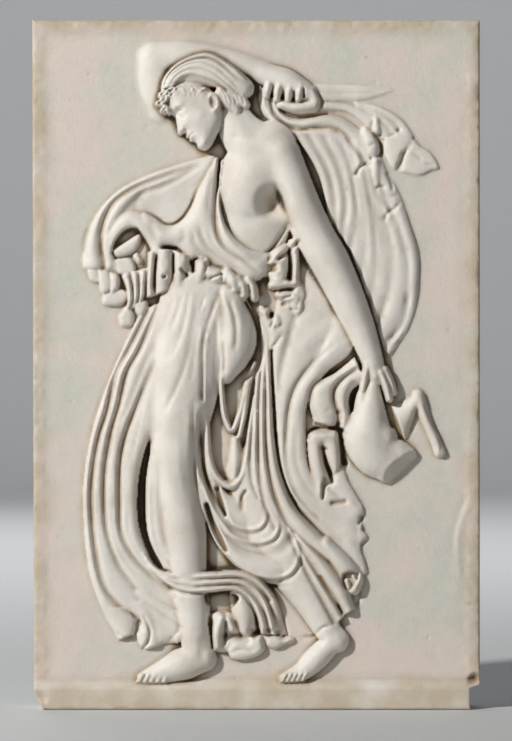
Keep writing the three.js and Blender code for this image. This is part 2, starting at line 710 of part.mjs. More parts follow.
function overTheLegs() {
  const thigh = [
    [-41, 68, 14], [-52, 10, 16], [-55, -50, 14], [-53, -100, 12], [-45, -130, 9], [-28, -160, 7],
    [0, -184, 5],
  ];
  const middle = [
    [-31, 68, 14], [-45, 10, 14], [-47, -50, 9], [-46, -90, 8], [-38, -118, 6], [-20, -144, 6],
    [8, -154, 4],
  ];
  const hip = [
    [-28, 66, 13], [-38, 10, 10], [-42, -50, 5], [-38, -85, 5], [-30, -108, 5], [-16, -120, 4],
    [2, -112, 3],
  ];
  const fall = [[2, 48, 3], [2, 10, 3], [-3, -15, 3], [-6, -85, 3], [-2, -112, 3], [6, -132, 3]];
  const fallMiddle = [
    [5, 48, 4], [7, 5, 4], [8, -60, 4], [12, -100, 4], [24, -132, 3], [48, -160, 2], [68, -196, 1],
  ];
  const fallEdge = [
    [8, 48, 4], [12, 5, 4], [16, -60, 4], [24, -106, 4], [40, -132, 3], [62, -156, 3],
    [88, -182, 1],
  ];
  return [
    folds([thigh, middle, hip], [2, 1], [[17, 18, 15, 12, 10, 9, 8]]),
    limb([
      [-28, 20, 2.5, 4, 15], [-29, -20, 2.5, 4, 13], [-27, -46, 2.5, 4, 11],
      [-20, -58, 2.8, 4, 10], [-12, -46, 2.5, 4, 9], [-6, -20, 2, 4, 8],
    ]),
    limb([
      [-41, -55, 2.5, 4, 12], [-38, -85, 2.6, 4, 11], [-30, -99, 3, 4, 11], [-21, -105, 3.4, 4, 11],
      [-13, -97, 3, 4, 10], [-8, -80, 2.8, 4, 9], [-5, -55, 2.5, 4, 9],
    ]),
    folds(
      [[[-24, -62, 3], [-27, -85, 3], [-24, -98, 3]], [[-8, -50, 3], [-8, -75, 3], [-14, -92, 3]]],
      [1],
      [[7, 8, 8]],
    ),
    folds([fall, fallMiddle, fallEdge], [2, 2], [[8, 9.5, 9.5, 10, 12, 13], [8, 9, 9, 10, 12, 12, 9]]),
    folds([
      [[-44, -104, 5], [-30, -132, 5], [-8, -156, 5], [14, -158, 5], [30, -148, 4]],
      [[-48, -124, 5], [-34, -156, 5], [-6, -184, 5], [24, -190, 5], [46, -180, 3]],
    ], [3], [[11, 12, 13, 14, 10]]),
    folds([
      [[20, -126, 5], [36, -156, 5], [56, -184, 4], [80, -214, 1]],
      [[12, -140, 5], [30, -172, 6], [52, -202, 4], [74, -226, 1]],
    ], [2], [[12, 14, 14, 11]]),
  ];
}

function hem() {
  const over = [
    [-100, -160, 5], [-80, -179, 6], [-60, -187, 7], [-38, -184, 8], [-12, -182, 8], [6, -192, 7],
    [18, -212, 5], [27, -236, 2],
  ];
  const below = [
    [-92, -176, 4], [-74, -191, 5], [-58, -198, 7], [-40, -197, 8], [-20, -197, 7], [-6, -206, 6],
    [2, -222, 5], [6, -240, 3],
  ];
  return [
    folds([over, below], [3], [[13, 19, 21, 19, 14, 10]]),
    folds(
      [[[-40, -200, 3], [-42, -224, 3], [-38, -240, 2]], [[-22, -202, 3], [-24, -226, 3], [-26, -246, 2]]],
      [1],
      [[13, 14, 11]],
    ),
    folds(
      [[[-26, -226, 2], [-25, -242, 2], [-20, -256, 1]], [[-6, -222, 3], [-6, -238, 2], [-4, -255, 1]]],
      [2],
      [[10, 11, 9]],
    ),
    folds(
      [[[-6, -216, 3], [-4, -234, 2], [0, -252, 1]], [[26, -226, 2], [22, -238, 2], [14, -248, 1]]],
      [2],
      [[9, 10, 8]],
    ),
    // the trailing hem at the far left, two open flutes and a flat turned edge
    folds(
      [
        [[-134, -212, 0.5], [-127, -227, 0.5], [-120, -240, 0.5]],
        [[-112, -212, 3], [-106, -222, 3], [-106, -234, 2]],
      ],
      [1],
      [[7, 8, 8]],
    ),
    folds(
      [
        [[-110, -210, 3], [-101, -222, 3], [-98, -247, 0.5]],
        [[-96, -206, 4], [-84, -222, 4], [-80, -243, 0.5]],
      ],
      [1],
      [[8, 9, 8]],
    ),
    folds(
      [
        [[-96, -206, 4], [-84, -222, 4], [-80, -243, 0.5]],
        [[-74, -202, 6], [-64, -220, 5], [-64, -238, 1]],
      ],
      [1],
      [[10, 10, 8]],
    ),
  ];
}

// ---------------------------------------------------------------- deep hollows cut between the folds
function hollows() {
  return [
    hollow([[-4, -6, 3, 1], [-16, -14, 4, 1], [-22, -36, 5, 1], [-22, -50, 3, 1]]),
    hollow([[-28, -60, 3, 1.5], [-33, -76, 4, 1.5], [-29, -94, 3, 1.5]]),
    hollow([[7, 72, 3.5, 1], [8, 60, 4, 1], [9, 50, 2.5, 1]]),
    hollow([[-38, -206, 3, 3], [-30, -208, 4, 3], [-18, -210, 3, 3]]),
  ];
}

// ---------------------------------------------------------------- all of one stone
// Draws corners together along every facet edge shorter than the finest facet, so that the joined
// forms leave no slivers between them. An edge is left alone where closing it would pinch the stone
// or turn a facet over.
function withoutSlivers(solid) {
  const { vertProperties, triVerts } = solid.getMesh();
  const corners = [];
  for (let i = 0; i < vertProperties.length; i += 3) {
    corners.push(new THREE.Vector3().fromArray(vertProperties, i));
  }
  const facets = [];
  const around = corners.map(() => new Set());
  for (let t = 0; t < triVerts.length; t += 3) {
    const facet = [...triVerts.slice(t, t + 3)];
    facet.forEach((i) => around[i].add(facets.length));
    facets.push(facet);
  }
  const neighbours = (i) => new Set([...around[i]].flatMap((f) => facets[f]).filter((j) => j !== i));
  const facing = (facet) => {
    return new THREE.Triangle(...facet.map((i) => corners[i])).getNormal(new THREE.Vector3());
  };
  const close = (a, b) => {
    // the corner nearer the wall stays, which keeps the ground flat
    const [stays, goes] = corners[a].y > corners[b].y ? [a, b] : [b, a];
    const ofStays = neighbours(stays);
    const shared = [...neighbours(goes)].filter((j) => ofStays.has(j));
    const moved = [...around[goes]].filter((f) => !facets[f].includes(stays));
    const after = moved.map((f) => facets[f].map((i) => (i === goes ? stays : i)));
    const turns = moved.some((f, k) => facing(facets[f]).dot(facing(after[k])) < STEEPEST_TURN);
    if (shared.length !== 2 || turns) {
      return;
    }
    for (const f of around[goes]) {
      if (facets[f].includes(stays)) {
        facets[f].forEach((i) => i !== goes && around[i].delete(f));
        facets[f] = [];
      }
    }
    moved.forEach((f, k) => {
      facets[f] = after[k];
      around[stays].add(f);
    });
    around[goes].clear();
  };
  for (const facet of facets.keys()) {
    for (let k = 0; k < 3 && facets[facet].length; k++) {
      const a = facets[facet][k];
      const b = facets[facet][(k + 1) % 3];
      if (corners[a].distanceTo(corners[b]) < FINEST) {
        close(a, b);
      }
    }
  }
  return toSolid(vertProperties, facets.flat());
}

function meshOf(solid, name, material) {
  const { vertProperties, triVerts } = solid.getMesh();
  const geometry = new THREE.BufferGeometry();
  geometry.setAttribute("position", new THREE.BufferAttribute(vertProperties, 3));
  geometry.setIndex(new THREE.BufferAttribute(triVerts, 1));
  const faceted = geometry.toNonIndexed();
  faceted.computeVertexNormals();
  const mesh = new THREE.Mesh(faceted, material);
  mesh.name = name;
  return mesh;
}

const carvings = [
  raisedArm, knife, scarf, cloak, farCloth, skirt, legs, overTheLegs, hem, feet, torso, dress, belt,
  hangingFolds, loweredArm, head, haunch,
];
let stone = outlineBlock(SLAB).add(ledge());
for (const form of carvings.flatMap((make) => make())) {
  stone = stone.add(form);
}
for (const cutter of hollows()) {
  stone = stone.subtract(cutter);
}

stone = withoutSlivers(stone);

const marble = new THREE.MeshStandardMaterial({
  name: "marble",
  color: "#d9d2c4",
  roughness: 0.55,
  metalness: 0,
});
const group = new THREE.Group();
group.name = "marble_relief_plaque";
group.add(meshOf(stone, "plaque", marble));

export default group;
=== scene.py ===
import math

import bmesh
import bpy
import numpy as np
from bpy.props import FloatProperty, FloatVectorProperty, PointerProperty
from mathutils import Matrix, Vector, noise


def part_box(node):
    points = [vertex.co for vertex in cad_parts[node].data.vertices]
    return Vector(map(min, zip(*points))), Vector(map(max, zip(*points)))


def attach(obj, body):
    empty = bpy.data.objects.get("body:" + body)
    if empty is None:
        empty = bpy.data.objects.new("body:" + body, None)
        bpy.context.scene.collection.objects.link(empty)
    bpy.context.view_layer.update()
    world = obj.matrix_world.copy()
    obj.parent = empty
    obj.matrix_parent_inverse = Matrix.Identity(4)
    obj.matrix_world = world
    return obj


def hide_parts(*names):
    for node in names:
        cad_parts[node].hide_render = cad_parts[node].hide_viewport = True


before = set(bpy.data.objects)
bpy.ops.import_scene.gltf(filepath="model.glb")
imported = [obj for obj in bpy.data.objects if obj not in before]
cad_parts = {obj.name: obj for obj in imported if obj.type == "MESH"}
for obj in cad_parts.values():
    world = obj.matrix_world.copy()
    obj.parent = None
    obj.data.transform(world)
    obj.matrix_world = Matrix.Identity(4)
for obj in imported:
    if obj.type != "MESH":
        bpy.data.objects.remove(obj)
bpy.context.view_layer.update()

# Marble relief plaque: a dancer in swinging cloth, one arm raised behind the head with a short
# knife, the other lowered with the haunch of a kid, carved from one slab.
#
# The carving is worked out in millimetres. A place on it is (x, z, height): across the slab, up it,
# and out of its plain ground.

bl_info = {
    "name": "Marble Relief Plaque",
    "version": (1, 0, 0),
    "blender": (4, 5, 0),
    "location": "3D View > Sidebar > Plaque",
    "description": "Builds a carved marble relief plaque and a plain stage for it",
    "category": "Add Mesh",
}

MM = 0.001
LOW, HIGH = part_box("plaque")
HALF_W = (HIGH[0] - LOW[0]) / 2 / MM      # 195
HALF_H = (HIGH[2] - LOW[2]) / 2 / MM      # 300
SLAB = 42.0                               # from the back to the plain ground
HIGHEST = -LOW[1] / MM - SLAB             # how far the carving may stand out

# ---------------------------------------------------------------- how finely the stone is carved
CELLS_X, CELLS_Z = 96, 148                # cells of the coarsest net, about 4 mm each
HALVINGS = 3                              # how many times a cell may be halved, to about 0.5 mm
NX, NZ = CELLS_X << HALVINGS, CELLS_Z << HALVINGS
PX, PZ = 2 * HALF_W / NX, 2 * HALF_H / NZ
XS = np.linspace(-HALF_W, HALF_W, NX + 1)
ZS = np.linspace(-HALF_H, HALF_H, NZ + 1)
DRAW = 0.3                                # step along and across a form as it is laid
NOTHING = -1e9


def course(points, step=DRAW, count=None):
    """A smooth run through a few places, in even steps. Numbers after x and z ride along."""
    p = np.array(points, float)
    if len(p) == 2:
        t = np.linspace(0, 1, 12)[:, None]
        dense = p[0] * (1 - t) + p[1] * t
    else:
        q = np.vstack([2 * p[0] - p[1], p, 2 * p[-1] - p[-2]])
        gap = np.sqrt(np.maximum(np.linalg.norm(np.diff(q[:, :2], axis=0), axis=1), 1e-6))
        t = np.linspace(0, 1, 24, endpoint=False)[:, None]
        parts = []
        for i in range(1, len(q) - 2):
            p0, p1, p2, p3 = q[i - 1:i + 3]
            d0, d1, d2 = gap[i - 1:i + 2]
            leave = ((p1 - p0) / d0 - (p2 - p0) / (d0 + d1) + (p2 - p1) / d1) * d1
            reach = ((p2 - p1) / d1 - (p3 - p1) / (d1 + d2) + (p3 - p2) / d2) * d1
            parts.append(
                (2 * t**3 - 3 * t**2 + 1) * p1 + (t**3 - 2 * t**2 + t) * leave
                + (3 * t**2 - 2 * t**3) * p2 + (t**3 - t**2) * reach
            )
        dense = np.vstack(parts + [p[-1:]])
    travelled = np.concatenate([[0], np.cumsum(np.linalg.norm(np.diff(dense[:, :2], axis=0), axis=1))])
    if count is None:
        count = max(4, int(travelled[-1] / step) + 1)
    at = np.linspace(0, travelled[-1], count)
    return np.stack([np.interp(at, travelled, dense[:, k]) for k in range(dense.shape[1])], 1)


def length(points):
    c = course(points, count=60)
    return np.linalg.norm(np.diff(c[:, :2], axis=0), axis=1).sum()


def eased(values, count):
    """Values spread evenly over a run, with an easy change from each to the next."""
    v = np.atleast_1d(np.array(values, float))
    if len(v) == 1:
        return np.full(count, v[0])
    t = np.linspace(0, len(v) - 1, count)
    i = np.minimum(t.astype(int), len(v) - 2)
    f = t - i
    f = f * f * (3 - 2 * f)
    return v[i] * (1 - f) + v[i + 1] * f


def softened(h, cells):
    """The heights evened out over so many cells each way."""
    reach = int(3 * cells) + 1
    bell = np.exp(-0.5 * (np.arange(-reach, reach + 1) / cells) ** 2)
    bell /= bell.sum()
    for axis in (0, 1):
        ends = [(0, 0), (0, 0)]
        ends[axis] = (reach, reach)
        wide = np.pad(h, ends, mode="edge")
        out = np.zeros_like(h)
        for i, share in enumerate(bell):
            cut = [slice(None)] * 2
            cut[axis] = slice(i, i + h.shape[axis])
            out += share * wide[tuple(cut)]
        h = out
    return h


def mottle(seed, size, shape=(NZ + 1, NX + 1), stretch=1.0):
    """Soft unevenness between -1 and 1 in patches of about size millimetres."""
    rng = np.random.default_rng(seed)
    rows = max(2, int(2 * HALF_H / size) + 2)
    cols = max(2, int(2 * HALF_W / (size * stretch)) + 2)
    knots = rng.uniform(-1, 1, (rows, cols))

    def spread(values, count):
        t = np.linspace(0, len(values) - 1.001, count)
        i = t.astype(int)
        f = (t - i)[:, None]
        f = f * f * (3 - 2 * f)
        return values[i] * (1 - f) + values[i + 1] * f

    return spread(spread(knots, shape[0]).T, shape[1]).T


class Relief:
    """The heights of the carving over its ground, on a fine net."""

    def __init__(self):
        self.h = np.zeros((NZ + 1, NX + 1))

    def lay(self, X, Z, Y, deeper=False):
        """Lays a patch given on its own net. The higher surface stays, or the deeper one."""
        Xi, Xj = np.gradient(X)
        Zi, Zj = np.gradient(Z)
        Yi, Yj = np.gradient(Y)
        c = np.rint((X + HALF_W) / PX).astype(int)
        r = np.rint((Z + HALF_H) / PZ).astype(int)
        ok = (c >= 0) & (c <= NX) & (r >= 0) & (r <= NZ)
        dx = c * PX - HALF_W - X
        dz = r * PZ - HALF_H - Z
        det = Xi * Zj - Xj * Zi
        det = np.where(np.abs(det) < 1e-5, np.where(det < 0, -1e-5, 1e-5), det)
        di = np.clip((Zj * dx - Xj * dz) / det, -1.5, 1.5)
        dj = np.clip((Xi * dz - Zi * dx) / det, -1.5, 1.5)
        h = (Y + Yi * di + Yj * dj)[ok]
        r, c = r[ok], c[ok]
        if len(r) == 0:
            return
        r0, c0 = r.min(), c.min()
        patch = np.full((r.max() + 1 - r0, c.max() + 1 - c0), NOTHING)
        patch[r - r0, c - c0] = h
        # single places that the net missed take the height of those beside them
        ring = np.pad(patch, 1, constant_values=NOTHING)
        beside = np.stack([ring[:-2, 1:-1], ring[2:, 1:-1], ring[1:-1, :-2], ring[1:-1, 2:]])
        struck = beside > NOTHING / 2
        missed = (patch < NOTHING / 2) & (struck.sum(0) >= 3)
        patch[missed] = (np.where(struck, beside, 0).sum(0) / np.maximum(struck.sum(0), 1))[missed]
        part = self.h[r0:r.max() + 1, c0:c.max() + 1]
        if deeper:
            hit = patch > NOTHING / 2
            part[hit] = np.minimum(part[hit], patch[hit])
        else:
            np.maximum(part, patch, out=part)

    def folds(self, guides, counts, crests, roundness=0.5, ends=(0, 0)):
        """Folds of cloth between guide lines that lie in the valleys, so many between each pair.
        crests gives the height of their backs from first to last, pair by pair."""
        n = int(max(length(g) for g in guides) / DRAW) + 4
        runs = [course(g, count=n) for g in guides]
        valleys, tops = [], []
        for i, count in enumerate(counts):
            for j in range(count):
                valleys.append(runs[i] * (1 - j / count) + runs[i + 1] * (j / count))
                tops.append(crests[min(i, len(crests) - 1)])
        valleys.append(runs[-1])
        for a, b, top in zip(valleys, valleys[1:], tops):
            wide = np.linalg.norm((a - b)[:, :2], axis=1).max()
            u = np.linspace(0, 1, int(wide / DRAW) + 5)[None, :]
            p = a[:, None, :] * (1 - u[..., None]) + b[:, None, :] * u[..., None]
            back = np.maximum(4 * u * (1 - u), 0) ** roundness
            h = p[..., 2] + np.maximum(eased(top, n)[:, None] - p[..., 2], 0) * back
            t = np.linspace(0, 1, n)[:, None]
            for share, way in ((ends[0], t), (ends[1], 1 - t)):
                if share:
                    s = np.clip(way / share, 0, 1)
                    h = h * np.sqrt(s * (2 - s))
            self.lay(p[..., 0], p[..., 1], h)

    def swept(self, spine):
        """A net across a spine of [x, z, half width, ...], and how far each place is from its middle."""
        s = course(spine)
        way = np.gradient(s[:, :2], axis=0)
        way /= np.linalg.norm(way, axis=1)[:, None] + 1e-9
        u = np.linspace(-1, 1, int(2 * s[:, 2].max() / DRAW) + 5)[None, :]
        x = s[:, 0, None] - way[:, 1, None] * s[:, 2, None] * u
        z = s[:, 1, None] + way[:, 0, None] * s[:, 2, None] * u
        return s, x, z, u

    def limb(self, spine, roundness=0.5, capped=True):
        """A rounded form along a spine of [x, z, half width, edge height, crown height]."""
        s, x, z, u = self.swept(spine)
        rise = np.maximum(1 - u * u, 0) ** roundness
        self.lay(x, z, s[:, 3, None] + (s[:, 4] - s[:, 3])[:, None] * rise)
        for end in (0, -1) if capped else ():
            self.dome(s[end, 0], s[end, 1], s[end, 2], s[end, 2], 0, s[end, 3], s[end, 4], roundness)

    def window(self, x, z, reach):
        """The part of the net within reach of a place, and its places seen from there."""
        c0, c1 = max(0, int((x - reach + HALF_W) / PX)), int((x + reach + HALF_W) / PX) + 2
        r0, r1 = max(0, int((z - reach + HALF_H) / PZ)), int((z + reach + HALF_H) / PZ) + 2
        gx, gz = np.meshgrid(XS[c0:c1] - x, ZS[r0:r1] - z)
        return self.h[r0:r1, c0:c1], gx, gz

    def dome(self, x, z, half_x, half_z, turn, edge, crown, roundness=0.5, add=False):
        """A rounded swelling on an oval foot, turned by so many degrees."""
        part, gx, gz = self.window(x, z, max(half_x, half_z) + 1)
        t = math.radians(turn)
        d = ((gx * math.cos(t) + gz * math.sin(t)) / half_x) ** 2
        d += ((gz * math.cos(t) - gx * math.sin(t)) / half_z) ** 2
        hit = d <= 1
        h = edge + (crown - edge) * np.maximum(1 - d, 0) ** roundness
        part[hit] = part[hit] + h[hit] if add else np.maximum(part, h)[hit]

    def hollow(self, spine, wall=14.0):
        """A deep cut along a spine of [x, z, half width, height of its floor]."""
        s, x, z, u = self.swept(spine)
        self.lay(x, z, s[:, 3, None] + wall * np.abs(u) ** 5, deeper=True)
        for end in (0, -1):
            part, gx, gz = self.window(s[end, 0], s[end, 1], s[end, 2] + 1)
            d = np.hypot(gx, gz) / s[end, 2]
            np.minimum(part, np.where(d <= 1, s[end, 3] + wall * d**5, 1e9), out=part)

    def near(self, path, reach):
        """How far each place near a run is from it, and how far along."""
        line = course(path, step=0.6)
        lo, hi = line[:, :2].min(0) - reach, line[:, :2].max(0) + reach
        c0, c1 = max(0, int((lo[0] + HALF_W) / PX)), int((hi[0] + HALF_W) / PX) + 2
        r0, r1 = max(0, int((lo[1] + HALF_H) / PZ)), int((hi[1] + HALF_H) / PZ) + 2
        gx, gz = np.meshgrid(XS[c0:c1], ZS[r0:r1])
        best = np.full(gx.shape, 1e9)
        at = np.zeros(gx.shape)
        for i in range(len(line) - 1):
            a, b = line[i, :2], line[i + 1, :2]
            d = b - a
            lx, hx = min(a[0], b[0]) - reach, max(a[0], b[0]) + reach
            lz, hz = min(a[1], b[1]) - reach, max(a[1], b[1]) + reach
            cs = slice(max(0, int((lx + HALF_W) / PX) - c0), int((hx + HALF_W) / PX) + 2 - c0)
            rs = slice(max(0, int((lz + HALF_H) / PZ) - r0), int((hz + HALF_H) / PZ) + 2 - r0)
            x, z = gx[rs, cs] - a[0], gz[rs, cs] - a[1]
            t = np.clip((x * d[0] + z * d[1]) / (d @ d + 1e-12), 0, 1)
            far = np.hypot(x - t * d[0], z - t * d[1])
            nearer = far < best[rs, cs]
            best[rs, cs][nearer] = far[nearer]
            at[rs, cs][nearer] = ((i + t) / (len(line) - 1))[nearer]
        return self.h[r0:r1, c0:c1], best, at

    def groove(self, path, width, depth):
        """A line cut along a run; a negative depth raises a ridge. It fades at both ends."""
        part, far, at = self.near(path, width)
        f = np.clip(1 - far / width, 0, 1)
        f = f * f * (3 - 2 * f)
        if np.size(depth) > 1:
            deep = np.interp(at, np.linspace(0, 1, len(depth)), depth)
        else:
            deep = depth * np.clip(np.minimum(at, 1 - at) * 6, 0, 1) ** 0.7
        part -= deep * f

    def within(self, outline):
        """The part of the net round an outline, which places lie inside it, and how far from its line."""
        line = course([*outline, outline[0]], step=0.5)[:, :2]
        lo, hi = line.min(0) - 1, line.max(0) + 1
        c0, c1 = max(0, int((lo[0] + HALF_W) / PX)), int((hi[0] + HALF_W) / PX) + 2
        r0, r1 = max(0, int((lo[1] + HALF_H) / PZ)), int((hi[1] + HALF_H) / PZ) + 2
        gx, gz = np.meshgrid(XS[c0:c1], ZS[r0:r1])
        inside = np.zeros(gx.shape, bool)
        far = np.full(gx.shape, 1e9)
        for a, b in zip(line, line[1:]):
            if a[1] != b[1]:
                crossing = (b[0] - a[0]) * (gz - a[1]) / (b[1] - a[1]) + a[0]
                inside ^= ((a[1] > gz) != (b[1] > gz)) & (gx < crossing)
            d = b - a
            t = np.clip(((gx - a[0]) * d[0] + (gz - a[1]) * d[1]) / (d @ d + 1e-12), 0, 1)
            far = np.minimum(far, (gx - a[0] - t * d[0]) ** 2 + (gz - a[1] - t * d[1]) ** 2)
        return self.h[r0:r1, c0:c1], inside, np.sqrt(far), gx, gz

    def pad(self, outline, edge, crown, rim, lean=(0, 0)):
        """A form inside a free outline, rising from edge to crown over the width of its rim.
        lean tips it: how much it climbs per millimetre across and up."""
        part, inside, far, gx, gz = self.within(outline)
        s = np.clip(far / rim, 0, 1)
        h = edge + (crown - edge) * np.sqrt(s * (2 - s))
        mid = np.mean(np.array(outline, float)[:, :2], axis=0)
        h += lean[0] * (gx - mid[0]) + lean[1] * (gz - mid[1])
        part[inside] = np.maximum(part, h)[inside]

    def sink(self, outline, floor, slope=1.2):
        """Cuts everything inside an outline down to a floor, with walls that slope in so far."""
        part, inside, far, gx, gz = self.within(outline)
        wall = 14 * np.clip(1 - far / slope, 0, 1) ** 2
        part[inside] = np.minimum(part, floor + wall)[inside]

    def joined(self, make, ease, soft_rim=False):
        """Carves some forms as one body, eased into each other over so many millimetres, and joins it on.
        A soft rim eases the outline into the ground too."""
        body = Relief()
        if not soft_rim:
            body.h[:] = NOTHING
        make(body)
        inside = body.h > NOTHING / 2
        rows, cols = np.nonzero(inside & (body.h > 0.01))
        pad = int(4 * ease / PX) + 2
        r0, r1 = max(0, rows.min() - pad), rows.max() + pad
        c0, c1 = max(0, cols.min() - pad), cols.max() + pad
        part, inside = body.h[r0:r1, c0:c1], inside[r0:r1, c0:c1]
        share = softened(inside.astype(float), ease / PX)
        even = softened(np.where(inside, part, 0), ease / PX) / np.maximum(share, 1e-3)
        here = self.h[r0:r1, c0:c1]
        np.maximum(here, np.where(inside, even, NOTHING), out=here)


# ---------------------------------------------------------------- landmarks of the figure, [x, z]
SHOULDER = [21, 184]
ELBOW = [65, 88]
WRIST = [101, 4]
RAISED_ELBOW = [-88, 266]
RAISED_WRIST = [0, 257]
HIP = [-48, 62]
KNEE = [-69, -66]
ANKLE = [-52, -240]
FAR_KNEE = [12, -135]
FAR_ANKLE = [62, -230]
EAR = [-40, 230]
HEAD_TALL = 72.0              # chin to crown
HEAD_TILT = 38.7              # degrees the face looks down from level


def on_head(forward, up):
    """A place on the head: forward of the ear towards the face, and up from the chin, in head heights."""
    tilt = math.radians(HEAD_TILT)
    a, b = forward * HEAD_TALL, (up - 0.45) * HEAD_TALL
    return [
        EAR[0] - a * math.cos(tilt) - b * math.sin(tilt),
        EAR[1] - a * math.sin(tilt) + b * math.cos(tilt),
    ]


# natural pits in the stone
PITS = (
    (-145, 253), (-94.5, 208), (97, 268), (30, 168), (61, 177), (140, 211), (104, 246), (-137, 71), (-130, -94),
    (-18, -273), (142, -160), (105, -197), (-160, -32), (168, 30), (150, -238), (-172, -150),
)


def ledge(r):
    slope = np.clip((-274 - ZS) / 7, 0, 1)[:, None]
    np.maximum(r.h, 7 * slope + 0 * XS[None, :], out=r.h)


def old_damage(r):
    """A scar running down the right margin, a crack beside it, and the corner knocked off the ledge."""
    r.groove([(190, -112), (181, -130), (176, -147), (175.5, -168), (178, -192)], 4.5, -0.8)
    r.groove([(184, -112), (177, -132), (172, -150), (172, -170)], 5, 0.5)
    r.groove([(184, -208), (190, -208.6), (194, -208)], 1.6, 1.0)
    r.dome(190, -274, 7, 5.5, 30, 0, -5, 1, add=True)
    r.dome(-190, -289, 8, 7, 30, 0, -2.5, 1.2, add=True)
    r.dome(194, 240, 3, 9, 0, 0, -1.4, 1.2, add=True)
    r.dome(-194, 120, 2.6, 12, 0, 0, -1.2, 1.2, add=True)
    for x, z in PITS:
        r.dome(x, z, 1.1, 1.1, 0, 0, -1.1, 1, add=True)


def head(r):
    face = [
        (0.36, 0.86), (0.43, 0.78), (0.472, 0.66), (0.474, 0.60), (0.462, 0.555), (0.50, 0.46),
        (0.555, 0.365), (0.545, 0.345), (0.49, 0.325), (0.485, 0.30), (0.508, 0.27), (0.482, 0.24),
        (0.498, 0.212), (0.462, 0.165), (0.458, 0.13), (0.47, 0.08), (0.44, 0.025), (0.38, 0.0),
        (0.22, 0.055), (0.05, 0.14), (-0.06, 0.26), (-0.10, 0.5), (0.0, 0.8), (0.2, 0.9),
    ]

    def at(*places):
        return [on_head(*p) for p in places]

    def mass(part):
        part.pad(at(*face), 7, 19.5, 12)
        part.dome(*on_head(0.24, 0.36), 15, 17, -HEAD_TILT, 12, 21, 0.8)

    r.joined(mass, 0.9)
    # brow, eye socket, eyeball and lids
    r.groove(at((0.455, 0.615), (0.38, 0.635), (0.27, 0.605)), 3.4, -0.9)
    r.dome(*on_head(0.385, 0.545), 7, 4.6, -HEAD_TILT, 0, -2.3, 1, add=True)
    r.dome(*on_head(0.383, 0.527), 3.7, 2.1, -HEAD_TILT, 0, 1.5, 0.7, add=True)
    r.groove(at((0.432, 0.515), (0.40, 0.543), (0.355, 0.543), (0.312, 0.517)), 1.4, -0.8)
    r.groove(at((0.435, 0.54), (0.40, 0.568), (0.345, 0.567), (0.30, 0.54)), 1.5, 0.7)
    r.groove(at((0.425, 0.512), (0.385, 0.503), (0.33, 0.514)), 1.2, -0.5)
    # nose, lips and chin
    r.groove(at((0.452, 0.56), (0.485, 0.47), (0.53, 0.375)), 3.2, -1.4)
    r.dome(*on_head(0.487, 0.362), 2.9, 2.5, -HEAD_TILT, 0, 1.5, 0.7, add=True)
    r.groove(at((0.462, 0.40), (0.448, 0.365), (0.462, 0.335)), 1.7, 1.2)
    r.groove(at((0.495, 0.337), (0.525, 0.343)), 1.2, 1.2)
    r.groove(at((0.505, 0.277), (0.46, 0.281), (0.412, 0.263)), 1.8, -1.0)
    r.groove(at((0.512, 0.256), (0.46, 0.262), (0.405, 0.254)), 1.1, 1.5)
    r.groove(at((0.5, 0.228), (0.46, 0.236), (0.418, 0.245)), 2.0, -1.0)
    r.dome(*on_head(0.398, 0.255), 1.8, 1.8, 0, 0, -0.8, 1, add=True)
    r.groove(at((0.475, 0.192), (0.43, 0.197)), 2.8, 0.9)
    r.dome(*on_head(0.42, 0.09), 6, 6, 0, 0, 1.4, 1, add=True)


def cap(r):
    """A soft kerchief drawn tight over the crown, gathered behind, with a narrow hem over the brow."""
    front = [
        [-82, 234, 16], [-80, 247, 15], [-71, 259, 14.5], [-54, 268, 14.5], [-40, 270, 14.5], [-24, 262, 15],
        [-10, 251, 14], [-2, 242, 11],
    ]
    second = [
        [-79, 239, 19.6], [-73, 250, 20], [-60, 259, 20.2], [-46, 261, 20.2], [-33, 256, 20], [-21, 245, 18.6],
        [-9, 233, 13],
    ]
    third = [
        [-72, 241, 20.2], [-64, 249, 21], [-55, 251, 21], [-45, 249, 21], [-33, 244, 20.2], [-19, 234, 16],
    ]
    outline = [
        (-83, 234), (-81, 247), (-72, 259), (-55, 268.5), (-41, 270.5), (-25, 263), (-10, 252), (-2, 243),
        (-3, 235), (-9, 231), (-18, 233), (-32, 239), (-48, 241), (-66, 241), (-78, 239.5),
    ]

    def mass(part):
        part.pad(outline, 9, 20.5, 15)

    r.joined(mass, 1.2)
    r.folds([front, second], [2], [[18.5, 21.3, 21.8, 21.8, 20.6, 15]], 1.2)
    r.folds([second, third], [2], [[20.6, 21.8, 22.4, 22.2, 21.2, 17]], 1.2)
    r.groove([(-80, 239), (-66, 241), (-50, 241.2), (-38, 240.4)], 1.6, 1.3)
    r.groove([(-81, 242), (-66, 244), (-52, 244.2), (-38, 243)], 1.4, 0.7)


